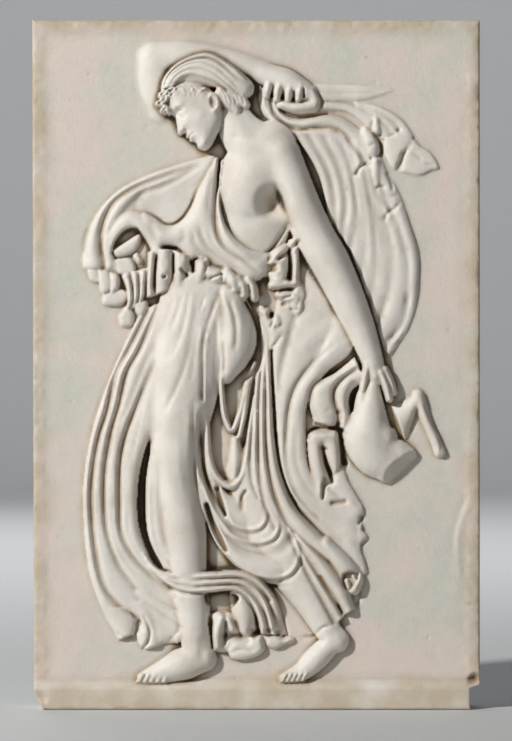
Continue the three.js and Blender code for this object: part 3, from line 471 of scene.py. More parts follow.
def hair(r):
    """Short curls along the brow, the ear, and locks combed back behind it."""
    hairline = course([(-80, 220), (-83.5, 228), (-80, 235.5), (-72, 238), (-58, 238), (-46, 237)], count=15)
    for row, (inward, tall) in enumerate(((0.4, 20.6), (4.2, 20.0))):
        for k in range(len(hairline) - row):
            x, z = hairline[k]
            # towards the face from the line of the kerchief
            x += inward * (0.9 if k < 4 else 0.25) + 0.7 * math.sin(2.3 * k + row)
            z -= inward * (0.2 if k < 4 else 1.0) - 0.5 * math.cos(1.7 * k)
            bend = 1.9 * math.cos(math.pi * k + row)
            r.limb([
                [x + 0.6 * bend, z + 2.2, 1.5, 13, tall - 0.6], [x - bend, z + 0.3, 1.7, 13, tall],
                [x + 0.4 * bend, z - 1.9, 1.2, 13, tall - 0.5],
            ], 0.6)
            r.groove([(x + 0.8 * bend, z + 2), (x - bend * 0.4, z), (x + bend, z - 1.8)], 0.9, 1.0)

    def nape(part):
        part.limb([[-31, 236, 5, 13, 18.5], [-25, 230, 7, 12, 19], [-19, 224.5, 6, 11, 17], [-17, 221, 4, 11, 15.5]], 0.7)
        part.limb([[-22, 236, 5, 12, 18], [-14, 230, 6, 11, 17], [-9, 226, 4, 10, 15]], 0.7)

    r.joined(nape, 0.6)
    for k in range(6):
        x = -31 + 3.4 * k
        r.groove([(x - 2, 239 - 0.9 * k), (x + 1.8, 231.6), (x + 3.2, 226), (x + 1.8, 221.5 + 0.8 * k)], 1.5, [1.3, 1.5, 1.4, 0.6])
    # the ear: a rim, the bowl inside it, and the lobe
    r.dome(-36.6, 226.6, 5.6, 9.6, 14, 16, 21, 0.4)
    r.dome(-37.6, 226.8, 2.7, 5.6, 14, 0, -4.4, 0.6, add=True)
    r.groove([(-41, 231), (-38, 235.4), (-33.6, 233), (-32, 226.5), (-34, 220.5)], 1.5, -1.0)
    r.groove([(-37.2, 232.6), (-35, 230.4), (-34.8, 226)], 1.0, 1.0)
    r.dome(-36.4, 219.4, 3, 2.8, 0, 0, 1.2, 1, add=True)


def raised_hand(r):
    """The fist that holds the knife, its fingers closed over the scarf."""

    def mass(part):
        part.limb([[-2, 257, 8.5, 0.5, 9], [10, 252, 10, 0.5, 10.5], [26, 246, 11.5, 0.5, 12], [42, 238, 9, 0.5, 11.5]])
        part.limb([[22, 226.5, 4.2, 0.5, 9], [36, 223.6, 5.2, 0.5, 10.5], [50, 225, 5.6, 0.5, 9.5]])
        part.limb([[48, 237, 6, 0.5, 10.5], [52, 229, 5, 0.5, 9.5]])

    r.joined(mass, 1.0)
    # knuckles and closed fingers
    for k, x in enumerate((9.6, 18.6, 28.4, 37.4)):
        tip = 231 if k else 234
        r.limb([[x + 1.4, 243 - 0.4 * k, 4.2, 4, 12.2], [x, 237.5 - 0.5 * k, 4.1, 4, 13], [x - 0.6, tip, 3.4, 3, 11]])
    for x, z, tall in ((14.2, 233.8, 4.5), (23.8, 233.4, 4.5), (33, 232.4, 5.6), (41.6, 234, 6.4)):
        r.hollow([(x - 0.3, z + tall - 1, 1.0, 5.5), (x, z - 1, 1.5, 4)], 10)
    r.groove([(50, 240.5), (54.5, 235), (57, 227), (56, 221)], 2.2, 2.6)
    r.groove([(22, 229.5), (30, 227), (44, 228.4)], 1.6, 1.2)


def toes(r, great, little, crown):
    """Five toes side by side, from the great toe to the little one, resting on the ledge."""
    near = [[*great, 5], [great[0] - 3.5, great[1] - 7, 3]]
    far = [[*little, 5], [little[0] - 3.5, little[1] - 7, 3]]
    r.folds([near, far], [5], [[crown, crown - 1.5]])


def raised_arm(r):

    def mass(part):
        part.limb([[-84, 222, 10, 0, 4], [-88, 244, 14, 0, 6.5], [*RAISED_ELBOW, 14.5, 0, 7.5]])
        part.limb([
            [*RAISED_ELBOW, 14.5, 0, 7.5], [-62, 268.5, 13, 0, 8.5], [-30, 264, 12, 0, 8.5],
            [*RAISED_WRIST, 9.5, 0, 9], [8, 254, 9.5, 0, 9.5],
        ])

    r.joined(mass, 1.6, soft_rim=True)


def knife(r):
    """The blade in the raised hand, with a thickened back."""
    back = [[50, 244.5, 0.6], [90, 243, 0.6], [119.5, 239.6, 0.5]]
    edge = [[50, 229, 0.6], [98, 231.5, 0.6], [119, 238.4, 0.5]]
    r.folds([back, edge], [1], [[2.8, 2.4, 1.2]], 0.4)
    r.groove([(56, 236.6), (90, 237), (117, 238.4)], 1.8, 0.9)
    r.groove([(57, 241), (88, 240.6), (112, 239.8)], 1.5, 0.4)


def scarf(r):
    """The scarf slung from the neck behind the back, with its two ends."""
    outer = [
        [108, 181, 0.5], [115, 166, 0.5], [125, 148, 0.5], [134, 122, 0.5], [141, 98, 0.5], [141.5, 75, 0.5],
        [139, 52, 0.5], [131, 28, 0.5], [117, 8, 0.5],
    ]
    second = [[100, 178, 3], [112, 145, 3], [124, 118, 3], [131, 92, 3], [131, 60, 3], [121, 30, 2], [112, 12, 1]]
    middle = [[91, 190, 3.6], [97, 150, 3.6], [103, 110, 3.6], [103, 75, 3.6], [98, 55, 2]]
    inner = [[70, 205, 3.6], [83, 165, 3.8], [87, 130, 3.8], [82, 100, 3]]
    by_arm = [[28, 206, 3], [53, 170, 3], [60, 145, 3], [62, 128, 3]]
    top = [[56, 229, 0.5], [72, 228, 0.5], [98, 221, 0.5], [108, 214, 0.5]]
    upper = [[56, 222, 1.5], [68, 222, 1.5], [82, 219, 1.5], [101, 205, 1.5]]
    swing = [
        [17, 231, 2.5], [20, 222.5, 2.5], [28, 216, 2.5], [38, 214, 2.5], [50, 215.5, 2.5], [62, 217.5, 2.5],
        [76, 214.5, 2.5], [91, 204, 2.5],
    ]
    lower = [
        [12, 233, 2.5], [15, 221, 2.5], [20, 214, 2.5], [28, 207.5, 2.5], [40, 204.5, 2.5], [58, 206, 2.5],
        [75, 202, 2.5], [90, 184, 2.5], [97, 174, 2.5],
    ]
    neck = [[3, 243, 1], [2, 231, 1], [6, 219, 1], [26, 201, 1], [58, 198, 2.5], [78, 186, 2.5], [86, 171, 2]]
    tail_top = [[86, 229, 0.5], [108, 224, 0.5], [126, 214, 0.5], [137, 199, 0.5]]
    tail_foot = [[90, 220, 1], [102, 210, 1], [108, 203, 1], [110, 197, 1]]

    def mass(part):
        part.folds(
            [outer, second, middle, inner, by_arm], [1, 2, 2, 3],
            [[4, 4.8, 5.2, 4.8, 3.5], [4.6, 5.4, 5.8, 5.4, 4], [6, 6.4, 6, 4.6], [6, 6.2, 5.5]], 0.8,
        )
        part.folds([top, upper], [1], [[4, 4, 4]], 0.6)
        part.folds([tail_top, tail_foot], [3], [[2.5, 3.5, 3.5]], 0.7)
        part.pad([(112, 200), (124, 203.5), (137, 198), (133, 190.5), (129, 184.5), (126, 177), (121, 170), (112, 184)], 0.5, 3.6, 5)
        part.pad([(126, 168), (131, 186), (137, 196), (143, 190), (150, 186), (156, 179), (159, 171), (152, 169), (143, 165), (135, 166)], 0.5, 3.0, 4)

    r.joined(mass, 1.2)

    def rolls(part):
        part.folds([swing, lower, neck], [1, 1], [[6.8, 6.4, 5.8, 5.2]], 0.6)
        part.limb([[95, 203, 4.5, 0.5, 6.5], [98.5, 196, 7.5, 0.5, 7.6], [101, 186, 6.5, 0.5, 7]])
        part.limb([[104, 213, 3.8, 0.5, 6], [105, 204, 4.2, 0.5, 6.2]])
        part.limb([[104, 177, 4, 0.5, 6.8], [104, 166, 4.6, 0.5, 6.6], [105, 156, 3.6, 0.5, 5.6]])

    r.joined(rolls, 0.8)
    for path, width, depth in (
        (swing, 3.4, [2, 2.6, 2.8, 2.8, 2.4, 1.6, 0.8]), (lower, 3.6, [2, 2.8, 3, 2.8, 2.4, 2.4, 2.6]),
        ([(8, 243), (3.5, 237), (3, 228), (6, 219)], 2.6, 1.4), ([(10, 238), (9, 229), (11, 221)], 2.2, 1.2),
        ([(60, 228), (80, 226.5), (92, 222.5), (103, 217)], 2.6, 0.9), ([(86, 228), (106, 221), (122, 211), (133, 200)], 3, 0.9),
        ([(52, 188), (62, 172), (67, 150), (67, 130)], 6, 1.1), ([(66, 190), (74, 172), (79, 150), (78, 130), (73, 118)], 5, 1.2),
        ([(75, 195), (82, 178), (85, 160), (88, 140), (91, 120), (90, 100)], 4.5, 1.3),
        ([(97, 150), (103, 138), (107, 125), (110, 110), (112, 95)], 5, 1.2), ([(108, 148), (113, 140), (118, 132)], 3, 1.1),
        ([(118, 128), (119, 118)], 3, 0.9), ([(101, 203), (106, 196), (109, 190), (109, 184), (106, 181)], 2.4, 3.6),
        ([(85.5, 164), (89, 169), (92, 173), (97, 175.5)], 2.6, 3), ([(104, 153), (108, 155), (113, 155)], 2.2, 1.8),
        ([(113, 168), (118, 158), (119, 150)], 2.4, 1.8), ([(117, 147), (124, 147)], 2, 1.2),
        ([(110, 124), (113, 129), (117, 134), (121, 136), (126, 142)], 2.6, 1.8), ([(110, 199), (116, 199), (122, 201)], 2, 1.6),
        ([(122.5, 204), (125.5, 204)], 3, 2.5), ([(131, 186), (128, 184), (126, 178), (122, 171)], 2.4, 2.4),
        ([(147, 175), (156, 174)], 1.8, 1.2), ([(134, 184), (140, 182), (144, 177)], 3, 1.0),
        ([(100, 206.5), (101, 209), (103, 214)], 2, 1.6), ([(99.5, 192), (100.5, 189)], 3.6, 1.4),
        ([(133, 64), (131, 46), (126, 32), (119, 24), (112, 20)], 4.4, 2.6), ([(138, 60), (134, 41), (127, 24), (119, 13)], 3, 1.0),
        ([(112, 60), (110, 48), (107, 38)], 6, 1.0),
    ):
        r.groove([place[:2] for place in path], width, depth)


def cloak(r):
    """The cloth thrown out behind the shoulder: a sheet with a rolled border, ending in a wide sleeve."""
    sheet = [
        (-35, 183), (-62, 176), (-90, 166.5), (-118, 152.5), (-138, 132), (-148, 108), (-149.5, 84),
        (-137, 82), (-124, 80), (-104, 76), (-88, 90), (-60, 92), (-34, 100), (-33, 140),
    ]

    def mass(part):
        part.pad(sheet, 0.5, 6.5, 8)
        part.folds([
            [[-36, 183, 0.5], [-62, 176, 0.5], [-90, 166.5, 0.5], [-118, 152.5, 0.5], [-138, 132, 0.5], [-148.5, 108, 0.5], [-149, 84, 0.5]],
            [[-45, 175, 3], [-74, 165.5, 3], [-98, 156.5, 3], [-121, 144, 3], [-132, 126, 3], [-135, 105, 3], [-132, 84, 3]],
        ], [1], [[5, 6.5, 7.5, 8, 7.5]], 0.7)
        part.folds([
            [[-45, 175, 3], [-74, 165.5, 3], [-98, 156.5, 3], [-121, 144, 3], [-132, 126, 3], [-135, 105, 3], [-132, 84, 3]],
            [[-44, 177, 4], [-64, 164, 4], [-82, 154.5, 4], [-97, 150, 4], [-112, 135, 4], [-126, 112, 4], [-126, 84, 4]],
        ], [1], [[6.5, 8, 8.5, 10, 10, 8]], 0.8)
        # the arch over the mouth of the sleeve
        part.limb([
            [-127, 84, 5, 3, 8], [-127.5, 98, 6, 3, 9.5], [-121, 115, 8, 3, 11.5], [-109, 125, 9, 3, 12.5],
            [-97, 120, 9.5, 4, 13.5], [-87, 109, 8, 4, 13.5], [-84, 95, 7, 4, 12.5],
        ], capped=False)

    r.joined(mass, 0.9)
    r.groove([(-48, 173), (-78, 164), (-104, 154), (-124, 141.5), (-132.5, 124), (-135, 104), (-132, 85)], 4.5, [0.6, 2.0, 2.4, 2.6, 2.8, 2.8, 3.2])
    r.groove([(-46, 176), (-64, 164.5), (-82, 155.5), (-97, 150.5), (-104, 142), (-105, 136)], 5.5, [0.4, 1.8, 2.0, 2.0, 1.6, 0.6])
    r.groove([(-146, 120), (-149, 103), (-147, 88)], 3, 1.4)
    r.groove([(-129, 116), (-134, 106), (-133, 93)], 2.5, 1.2)
    # the mouth of the sleeve, and the cloth seen inside it
    r.sink([(-126.5, 97), (-123, 108), (-114, 118), (-104, 119.5), (-97, 112), (-90.5, 99), (-92, 87), (-102, 77), (-120, 78), (-123, 90)], 1.5, 1.6)
    r.pad([(-126, 99.5), (-117, 104.5), (-101, 113), (-101, 106), (-107, 97.5), (-122, 93.5)], 3, 7.5, 4)
    r.pad([(-124, 92), (-108.5, 92), (-105.5, 80.5), (-119.5, 79)], 3, 7, 3)
    r.pad([(-103.5, 98), (-99.5, 91), (-102, 87.5), (-107, 95)], 3, 6, 2)
    # the hem hanging from it in scallops
    for outline, low, high in (
        ([(-147.5, 82), (-140, 84), (-136, 80), (-136.5, 71), (-144, 73)], 1.5, 5.5),
        ([(-138, 83), (-128, 81), (-126.5, 64), (-134, 61), (-137, 71)], 2, 7),
        ([(-127.5, 81), (-119.5, 78), (-119.5, 66), (-126, 61.5)], 2.5, 8),
        ([(-134, 61), (-118, 66), (-110, 61), (-117, 52), (-133, 52.5)], 1.5, 5.5),
        ([(-120, 42), (-112, 52), (-106.5, 46), (-107, 34.5), (-117.5, 33)], 1, 5),
        ([(-107.5, 55), (-95, 56), (-94.5, 46), (-99, 41.5), (-104, 44)], 2, 7),
    ):
        r.pad(outline, low, high, 4)
    r.folds([
        [[-117, 77, 3], [-113, 66, 3], [-112, 54, 2], [-114, 47, 1]],
        [[-94.5, 84, 5], [-96, 70, 5], [-97, 60, 4], [-100, 52, 2]],
    ], [3], [[9, 11, 11, 6]], 0.7)


def far_cloth(r):
    """The cloth that the lowered hand gathers up behind the far leg, with its falling zigzag edge."""
    near = [[26, 84, 0.4], [17, 48, 3.5], [15, 0, 6], [17, -40, 6], [22, -90, 6], [36, -120, 6], [62, -146, 5], [88, -170, 3]]
    second = [[44, 92, 0.4], [36, 52, 4], [26, 14, 6], [19, -20, 6], [19, -60, 6], [26, -95, 6], [42, -122, 5], [68, -144, 4], [90, -160, 2]]
    third = [[66, 94, 0.4], [66, 40, 4.5], [50, 2, 6], [34, -22, 6], [27, -60, 6], [30, -95, 6], [46, -118, 5], [70, -136, 3], [92, -148, 1]]
    outer = [[86, 62, 0.4], [84, 14, 4.5], [60, -8, 6], [44, -36, 6], [43, -62, 6], [46, -90, 6], [56, -110, 5], [72, -124, 3], [92, -136, 1]]

    def mass(part):
        part.folds([near, second, third, outer], [1, 1, 1], [
            [0.6, 6, 8.5, 9, 8.5, 7.5, 6, 4.5], [0.6, 6, 8.5, 9, 8.5, 7, 5.5, 4], [0.6, 6.5, 9.5, 10, 9.5, 8, 5.5, 4],
        ], 0.8)
        part.folds([
            [[86, 6, 5], [68, -8, 6], [50, -17, 6], [46, -32, 6], [51, -50, 5]],
            [[90, -4, 6], [76, -11, 6], [68, -24, 6], [70, -40, 6], [71, -54, 4]],
            [[96, -14, 6], [84, -22, 6], [81, -32, 6], [83, -44, 5], [79, -56, 4]],
        ], [1, 1], [[10, 11, 11, 10], [10, 11.5, 11.5, 10]], 0.7)
        part.limb([[93, -26, 5, 5, 11], [90, -38, 5, 5, 11], [86, -48, 4, 4, 9]])
        part.folds([[[44, -62, 4], [46, -84, 4], [54, -118, 3]], [[58, -64, 5], [60, -88, 4], [64, -100, 3]]], [1], [[9.5, 10, 9]], 0.8)
        part.folds([[[56, -62, 4], [62, -82, 4], [68, -96, 3]], [[71, -58, 4], [74, -74, 3], [72, -90, 2]]], [1], [[9, 9.5, 8]], 0.7)
        part.limb([[50, -64, 6, 4, 10], [60, -62, 6, 4, 10.5], [68, -62, 4, 4, 9.5]])
        part.pad([
            (46, -104), (60, -102), (74, -90), (81, -103), (88, -115), (94, -127), (89.5, -140), (97, -150),
            (91, -158), (95, -172), (96, -182), (86, -182), (70, -164), (50, -142), (36, -122),
        ], 0.5, 5.2, 8)

    r.joined(mass, 1.3)
    for path, width, depth in (
        ([(38, 55), (28, 20), (20, -5), (17.5, -34)], 6, 1.0), ([(64, 44), (44, 30), (30, 12)], 7, 0.8), ([(60, 22), (44, 10)], 6, 0.6),
        ([(78, 25), (62, 12), (50, 2), (38, -12), (30, -30), (26, -60), (27, -90), (38, -115), (54, -134)], 3.2, [0.4, 0.9, 1.6, 1.8, 1.8, 1.8, 1.8, 1.4, 0.8]),
        ([(35, -50), (35, -84), (44, -106), (58, -122)], 4, 1.2), ([(20, -60), (24, -92), (38, -118)], 3.4, 0.8),
        ([(88, 5), (75, -4), (60, -12), (50, -19), (47, -31), (49, -41), (54, -50)], 4.2, [1.2, 2.6, 3, 3, 3, 2.6, 2]),
        ([(86, -5), (76, -12), (69, -20), (67.5, -29), (71, -41)], 3.6, [1.4, 3, 3.4, 3.4, 3]),
        ([(86, -18), (82.5, -28), (83, -38), (86, -44)], 6.5, [3, 6, 7, 5]),
        ([(46, -63), (50, -57), (64, -57), (71, -52)], 4, [4, 5.5, 5.5, 5]), ([(72, -42), (72, -54), (73, -64), (74, -76), (77, -86)], 4.4, [4, 6, 6, 6, 6]),
        ([(57, -72), (60, -85), (65, -97), (66, -102)], 3.6, [3, 5, 6, 7]), ([(57, -72), (63, -74)], 2.4, 3),
        ([(64, -121), (72, -120), (80, -119)], 3.6, 3.6), ([(62, -106), (75, -118)], 2.4, 1.2), ([(60, -40), (66, -39)], 2, 1),
        ([(84, -121), (91, -121.5)], 1.8, 0.8), ([(48, -128), (66, -146), (80, -158)], 4, 0.8), ([(93, -131), (89.5, -140)], 2.6, 3),
        ([(96, -152), (91, -158)], 2, 1.6), ([(84, -134), (88, -150), (86, -162)], 5, 0.8), ([(96, -18), (94, -24)], 2.6, 3),
    ):
        r.groove(path, width, depth)
    r.sink([(58, -97), (64, -95), (69, -99), (66, -105), (62, -107), (60, -118), (57, -119), (56, -106)], 1.5, 2)


def skirt(r):
    """The cloth blown back from the near leg in long flat pleats, and the leg that shows through it."""
    rim = [
        [-98, 50, 0.5], [-110, 26, 0.5], [-121, 2, 0.5], [-134, -30, 0.5], [-144, -64, 0.5], [-150, -105, 0.5],
        [-149, -150, 0.5], [-144, -185, 0.5], [-133, -215, 0.5], [-120, -240, 0.5],
    ]
    first = [
        [-92, 50, 4], [-103, 28, 4.5], [-113, 9, 5], [-122, -8, 5], [-130, -42, 5], [-136, -60, 5], [-140.5, -82, 5],
        [-143.5, -110, 5], [-142, -142, 5], [-137, -176, 4.5], [-130, -197, 3.5], [-118, -211, 3], [-103, -222, 2],
    ]
    second = [
        [-84, 53, 6], [-92, 34, 6.5], [-102, 12, 7], [-112, -6, 7], [-119, -35, 7], [-125, -55, 7], [-130, -80, 7],
        [-132, -105, 7], [-131, -135, 7], [-126, -158, 7], [-118, -177, 6], [-107, -192, 5], [-97, -205, 4], [-85, -222, 3],
    ]
    third = [
        [-80, 52, 8], [-84, 28, 9], [-88, 2, 9.5], [-94, -13, 9.5], [-106, -42, 9], [-114, -64, 9], [-118, -85, 9],
        [-118.5, -118, 9], [-117, -145, 9], [-108, -165, 8], [-95, -180, 7], [-80, -193, 6], [-62, -199, 5],
    ]
    inner = [
        [-78, 50, 10], [-80, 20, 11], [-82, -10, 11], [-86, -50, 10], [-97, -75, 9], [-102, -97, 8.5], [-104, -122, 8.5],
        [-102, -142, 8.5], [-96, -160, 9], [-87, -176, 9], [-70, -184, 9],
    ]

    def mass(part):
        part.folds([rim, first, second, third, inner], [1, 1, 1, 1], [
            [7, 8, 8.5, 8.5, 8, 7, 5], [8, 9.5, 10, 10, 9.5, 8, 5], [9.5, 11, 11.5, 11.5, 10.5, 9, 6],
            [11, 12.5, 12.5, 12.5, 12, 11, 8],
        ], 0.7)
        part.limb([
            [*HIP, 34, 2, 16], [-58, 10, 34, 4, 22], [*KNEE, 24, 4, 24], [-70, -98, 20, 4, 22], [-64, -140, 20, 4, 21],
            [-60, -180, 17, 4, 19], [-55.5, -215, 15, 3, 16], [*ANKLE, 12, 2, 14],
        ], 0.6)
        part.folds([
            [[-88, -60, 9], [-95, -95, 8], [-96, -122, 7.5], [-93, -150, 8], [-80, -178, 9]],
            [[-82, -60, 15], [-84, -95, 13], [-84, -122, 12.5], [-79, -150, 12.5], [-66, -178, 11]],
        ], [1], [[16, 15.5, 15, 14, 12]], 0.8)

    r.joined(mass, 1.3)
    r.groove([p[:2] for p in first], 4.4, [2.4, 3.2, 3.6, 3.6, 3.6, 3.6, 3.6, 3.2, 2.4, 1.6, 1])
    r.groove([p[:2] for p in second], 3.8, [1.4, 2.4, 3, 3, 3, 3, 3, 2.4, 1.8, 1.2, 0.6])
    r.groove([p[:2] for p in third[2:]], 4.2, [0.8, 2.6, 3.4, 3.8, 4, 3.6, 2.4, 1.2, 0.8])
    r.groove([
        (-87, -52), (-91, -64), (-95.5, -80), (-98, -95), (-99.5, -118), (-99, -140), (-96, -157), (-88, -172), (-82, -178),
    ], 7.5, [0.4, 2.6, 4, 4.8, 5.2, 4.4, 3, 1.8, 0.8])
    for path, width, depth in (
        ([(-88, 20), (-95, 5), (-105, -20), (-112, -38), (-118, -50), (-120, -65)], 4, 1.2),
        ([(-93, -20), (-98, -35), (-101, -50), (-106, -70), (-110, -90)], 2.4, 1.1),
        ([(-97, -24), (-103, -46), (-109, -66), (-113, -88), (-113, -120)], 3, 0.9),
        ([(-124, -60), (-128, -85), (-126, -115)], 3.4, 0.8), ([(-138, -110), (-137, -140), (-132, -165)], 3, 0.7),
        ([(-90, -84), (-90, -120), (-88, -145), (-82, -165), (-72, -178)], 3.4, 1.8),
        ([(-80, -112), (-80, -145), (-76, -160)], 2.6, 0.6), ([(-126, -120), (-123, -150), (-112, -172), (-98, -188)], 3, 0.8),
        ([(-112, -120), (-110, -148), (-100, -166), (-88, -180), (-74, -189)], 3.4, 1.1),
        ([(-68, 28), (-74, 16), (-80, 4)], 4, 0.9), ([(-64, 62), (-68, 46), (-75, 30)], 3.6, 1.0),
        ([(-58, 64), (-61, 44), (-67, 22), (-76, 2)], 3.6, 1.2), ([(-72, 60), (-77, 42), (-84, 26)], 3.6, 1.0),
        ([(-50, 64), (-54, 36), (-59, 8), (-68, -18), (-82, -45)], 4.4, 1.5), ([(-45, 62), (-50, 34), (-54, 6), (-57, -18)], 3.4, 1.3),
        ([(-62, -30), (-63, -60), (-61, -92), (-57, -120)], 4.6, 0.9), ([(-70, -40), (-72, -75), (-70, -112)], 5, 0.5),
        ([(-57, -60), (-56, -90), (-53, -118), (-50, -150)], 3.4, 0.9),
    ):
        r.groove(path, width, depth)
    # the lower sheet, nearly flat on the ground
    r.pad([(-112, -196), (-92, -190), (-70, -196), (-62, -206), (-60, -226), (-68, -242), (-80, -243), (-98, -248), (-104, -236), (-100, -222)], 1, 6.5, 9)
    for path in ([(-106, -200), (-88, -212), (-74, -222), (-64, -230)], [(-96, -196), (-82, -206), (-68, -214)], [(-104, -208), (-94, -220), (-84, -242)]):
        r.groove(path, 3, 0.8)


def legs(r):
    """The far leg, under the cloth."""
    r.limb([[-4, -92, 22, 2, 9], [*FAR_KNEE, 26, 2, 13], [32, -175, 22, 2, 14], [50, -205, 17, 2, 13], [*FAR_ANKLE, 12, 2, 11]], 0.6)


def over_the_legs(r):
    """The folds that fall between the legs, in long straight pleats and hanging loops."""
    thigh = [[-40, 84, 6], [-43, 62, 15], [-50, 30, 17], [-54, -10, 16], [-54.5, -50, 14], [-53, -90, 12], [-46, -125, 9], [-30, -158, 7], [0, -184, 5]]
    middle = [[-33, 82, 6], [-34, 60, 14], [-42, 30, 14], [-46.5, -10, 12], [-47.5, -50, 8], [-45, -92, 7], [-38, -118, 6], [-20, -146, 6], [8, -156, 4]]
    hip = [[-26, 80, 6], [-29, 58, 13], [-35, 30, 13], [-38, -10, 10], [-41.5, -50, 6], [-39, -85, 6], [-32, -104, 5], [-18, -116, 4], [2, -112, 3]]
    fall = [[2, 60, 2], [3, 46, 3], [5, 12, 5], [0, -12, 5], [-4, -50, 5], [-7, -85, 5], [-3, -112, 4], [6, -132, 3]]
    fall_1 = [[3.5, 60, 2], [4.5, 46, 4], [6.5, 10, 6], [3, -20, 6], [2, -60, 6], [3, -95, 6], [8, -122, 6], [20, -148, 5], [36, -184, 4]]
    fall_2 = [[5, 60, 2], [6.5, 46, 4], [8, 8, 6], [8, -30, 7], [8.5, -70, 7], [12, -98, 7], [20, -124, 7], [42, -156, 6], [76, -182, 4]]
    fall_3 = [[7, 60, 2], [10, 46, 4], [12, 10, 6], [14, -28, 7], [16, -60, 7], [22, -95, 7], [33, -122, 7], [56, -147, 6], [90, -177, 4]]

    def mass(part):
        part.folds([thigh, middle, hip], [2, 1], [[8, 18, 19, 17, 15, 13, 11, 9], [8, 17, 17, 14, 12, 11, 9, 8]], 0.6)
        part.folds([fall, fall_1, fall_2, fall_3], [1, 1, 1], [
            [3, 7, 9.5, 9.5, 9.5, 10, 11], [3, 7, 10, 10, 10.5, 12, 13, 11], [3, 7, 10, 10.5, 11, 12.5, 12.5, 10],
        ], 0.6)

    def hips(part):
        part.folds([thigh[:5], middle[:5], hip[:5]], [2, 1], [[8, 18, 19, 17, 14], [8, 17, 17, 15, 12]], 0.6)
        part.limb([
            [-28, 76, 10, 6, 12], [-25, 56, 16, 3, 17], [-21, 36, 20, 3, 19.5], [-20, 18, 20, 3, 20.5],
            [-22, 6, 16, 3, 18.5], [-27, -8, 9, 4, 14],
        ])

    r.joined(mass, 0.7)
    r.joined(hips, 1.5)
    for path, width, depth in (
        ([(-30, 64), (-24, 48), (-21, 30), (-23, 12)], 5, -1.3), ([(-20, 58), (-14, 38), (-14, 20)], 4.5, -1.2),
        ([(-25, 60), (-19, 42), (-17, 26), (-19, 10)], 3.4, 1.4), ([(-32, 66), (-29, 44), (-29, 20)], 3, 1.6),
        ([(-12, 58), (-8, 44), (-6, 30)], 3, 0.8),
    ):
        r.groove(path, width, depth)
    # the loops hanging one inside the other
    r.limb([[-30, 34, 1.8, 6, 15], [-30, 10, 2.2, 4, 14.5], [-30, -20, 2.4, 4, 13], [-27, -46, 2.4, 4, 11], [-21, -57, 2.6, 4, 10], [-14.5, -44, 2.3, 4, 9], [-8, -16, 2, 4, 8.5], [-1, 2, 1.6, 4, 8]])
    r.limb([[-43.5, -26, 1.8, 7, 12.5], [-42.5, -55, 2.4, 4, 12], [-40, -84, 2.8, 4, 11], [-33, -99, 3, 4, 11], [-22, -106, 3.2, 4, 11], [-13.5, -99, 3, 4, 10], [-8, -80, 2.8, 4, 9], [-4.5, -55, 2.5, 4, 9], [-1, -28, 1.8, 4, 9]])
    r.limb([[-18, -66, 4, 3, 8], [-18, -84, 6, 3, 9.5], [-19, -98, 4.5, 3, 9]], 0.8)
    r.limb([[-3, -4, 1.6, 3, 8], [-7, -20, 2.4, 3, 8.5], [-10, -42, 2.4, 3, 9], [-14.5, -62, 2.2, 3, 9]])
    for path, width, depth in (
        ([(-33, 60), (-40, 42), (-45.5, 18), (-46, -5), (-46.5, -30)], 3.4, [1.2, 2, 2.2, 2.2, 2.4]),
        ([(-54, -32), (-54.5, -60), (-53, -86), (-50, -105), (-43, -124)], 3.2, [0.8, 2.4, 2.8, 2.6, 1.6]),
        ([(-48, -44), (-48, -70), (-45.5, -92), (-39, -108), (-32, -119)], 5.4, [2, 7, 8, 8, 6]),
        ([(-38, 34), (-40.5, 5), (-41, -38)], 4, 1.4), ([(-48, -22), (-47.2, -28)], 1.4, 2.2), ([(-43, 52), (-47, 30)], 3, 1.0),
        ([(-29, 22), (-27.5, 6), (-27.5, -8)], 2.6, 1.8), ([(-34, 40), (-35.5, 8), (-36, -36)], 3.4, 1.6),
        ([(5, 46), (6.5, 12), (3, -20), (2, -60), (3, -95), (8, -122), (16, -142)], 2.8, [2, 2.8, 3, 3, 3, 2.6, 1.8]),
        ([(8.5, 44), (8.6, 8), (8.5, -30), (9, -70), (12.5, -98), (20, -124), (34, -148), (52, -163), (74, -180)], 3, [1, 2, 3, 3.4, 3.4, 3, 2.4, 1.8, 1.6]),
        ([(10.5, 40), (13, 0), (15, -30), (16.5, -60), (22, -95), (33, -122), (50, -142), (70, -160), (90, -177)], 3.8, [1, 3, 4, 4.4, 4.4, 3.6, 2.4, 1.8, 1.6]),
        ([(-1.5, -14), (-3, -50), (-5, -78), (-3, -104), (2, -116)], 2.6, [1, 2.4, 2.6, 2.4, 1.4]),
        ([(-10, -62), (-12, -84), (-16, -99)], 2.6, 2.4),
    ):
        r.groove(path, width, depth)

    def calf(part):
        part.folds([
            [[-46, -100, 6], [-36, -130, 6], [-14, -156, 6], [12, -162, 6], [32, -150, 5]],
            [[-48, -124, 6], [-34, -156, 6], [-8, -183, 6], [22, -191, 6], [46, -180, 4]],
        ], [1], [[11, 13, 14, 14, 10]], 0.8)
        part.folds([
            [[24, -136, 6], [33, -158, 6], [47, -184, 5], [60, -208, 3], [70, -226, 1]],
            [[32, -146, 7], [44, -164, 7], [57, -186, 5], [70, -206, 3], [77, -218, 1]],
            [[36, -148, 7], [52, -162, 7], [66, -176, 6], [80, -196, 5], [86, -212, 1]],
        ], [1, 1], [[13, 14, 13.5, 12, 8], [13.5, 14, 14, 13.5, 9]], 0.6)

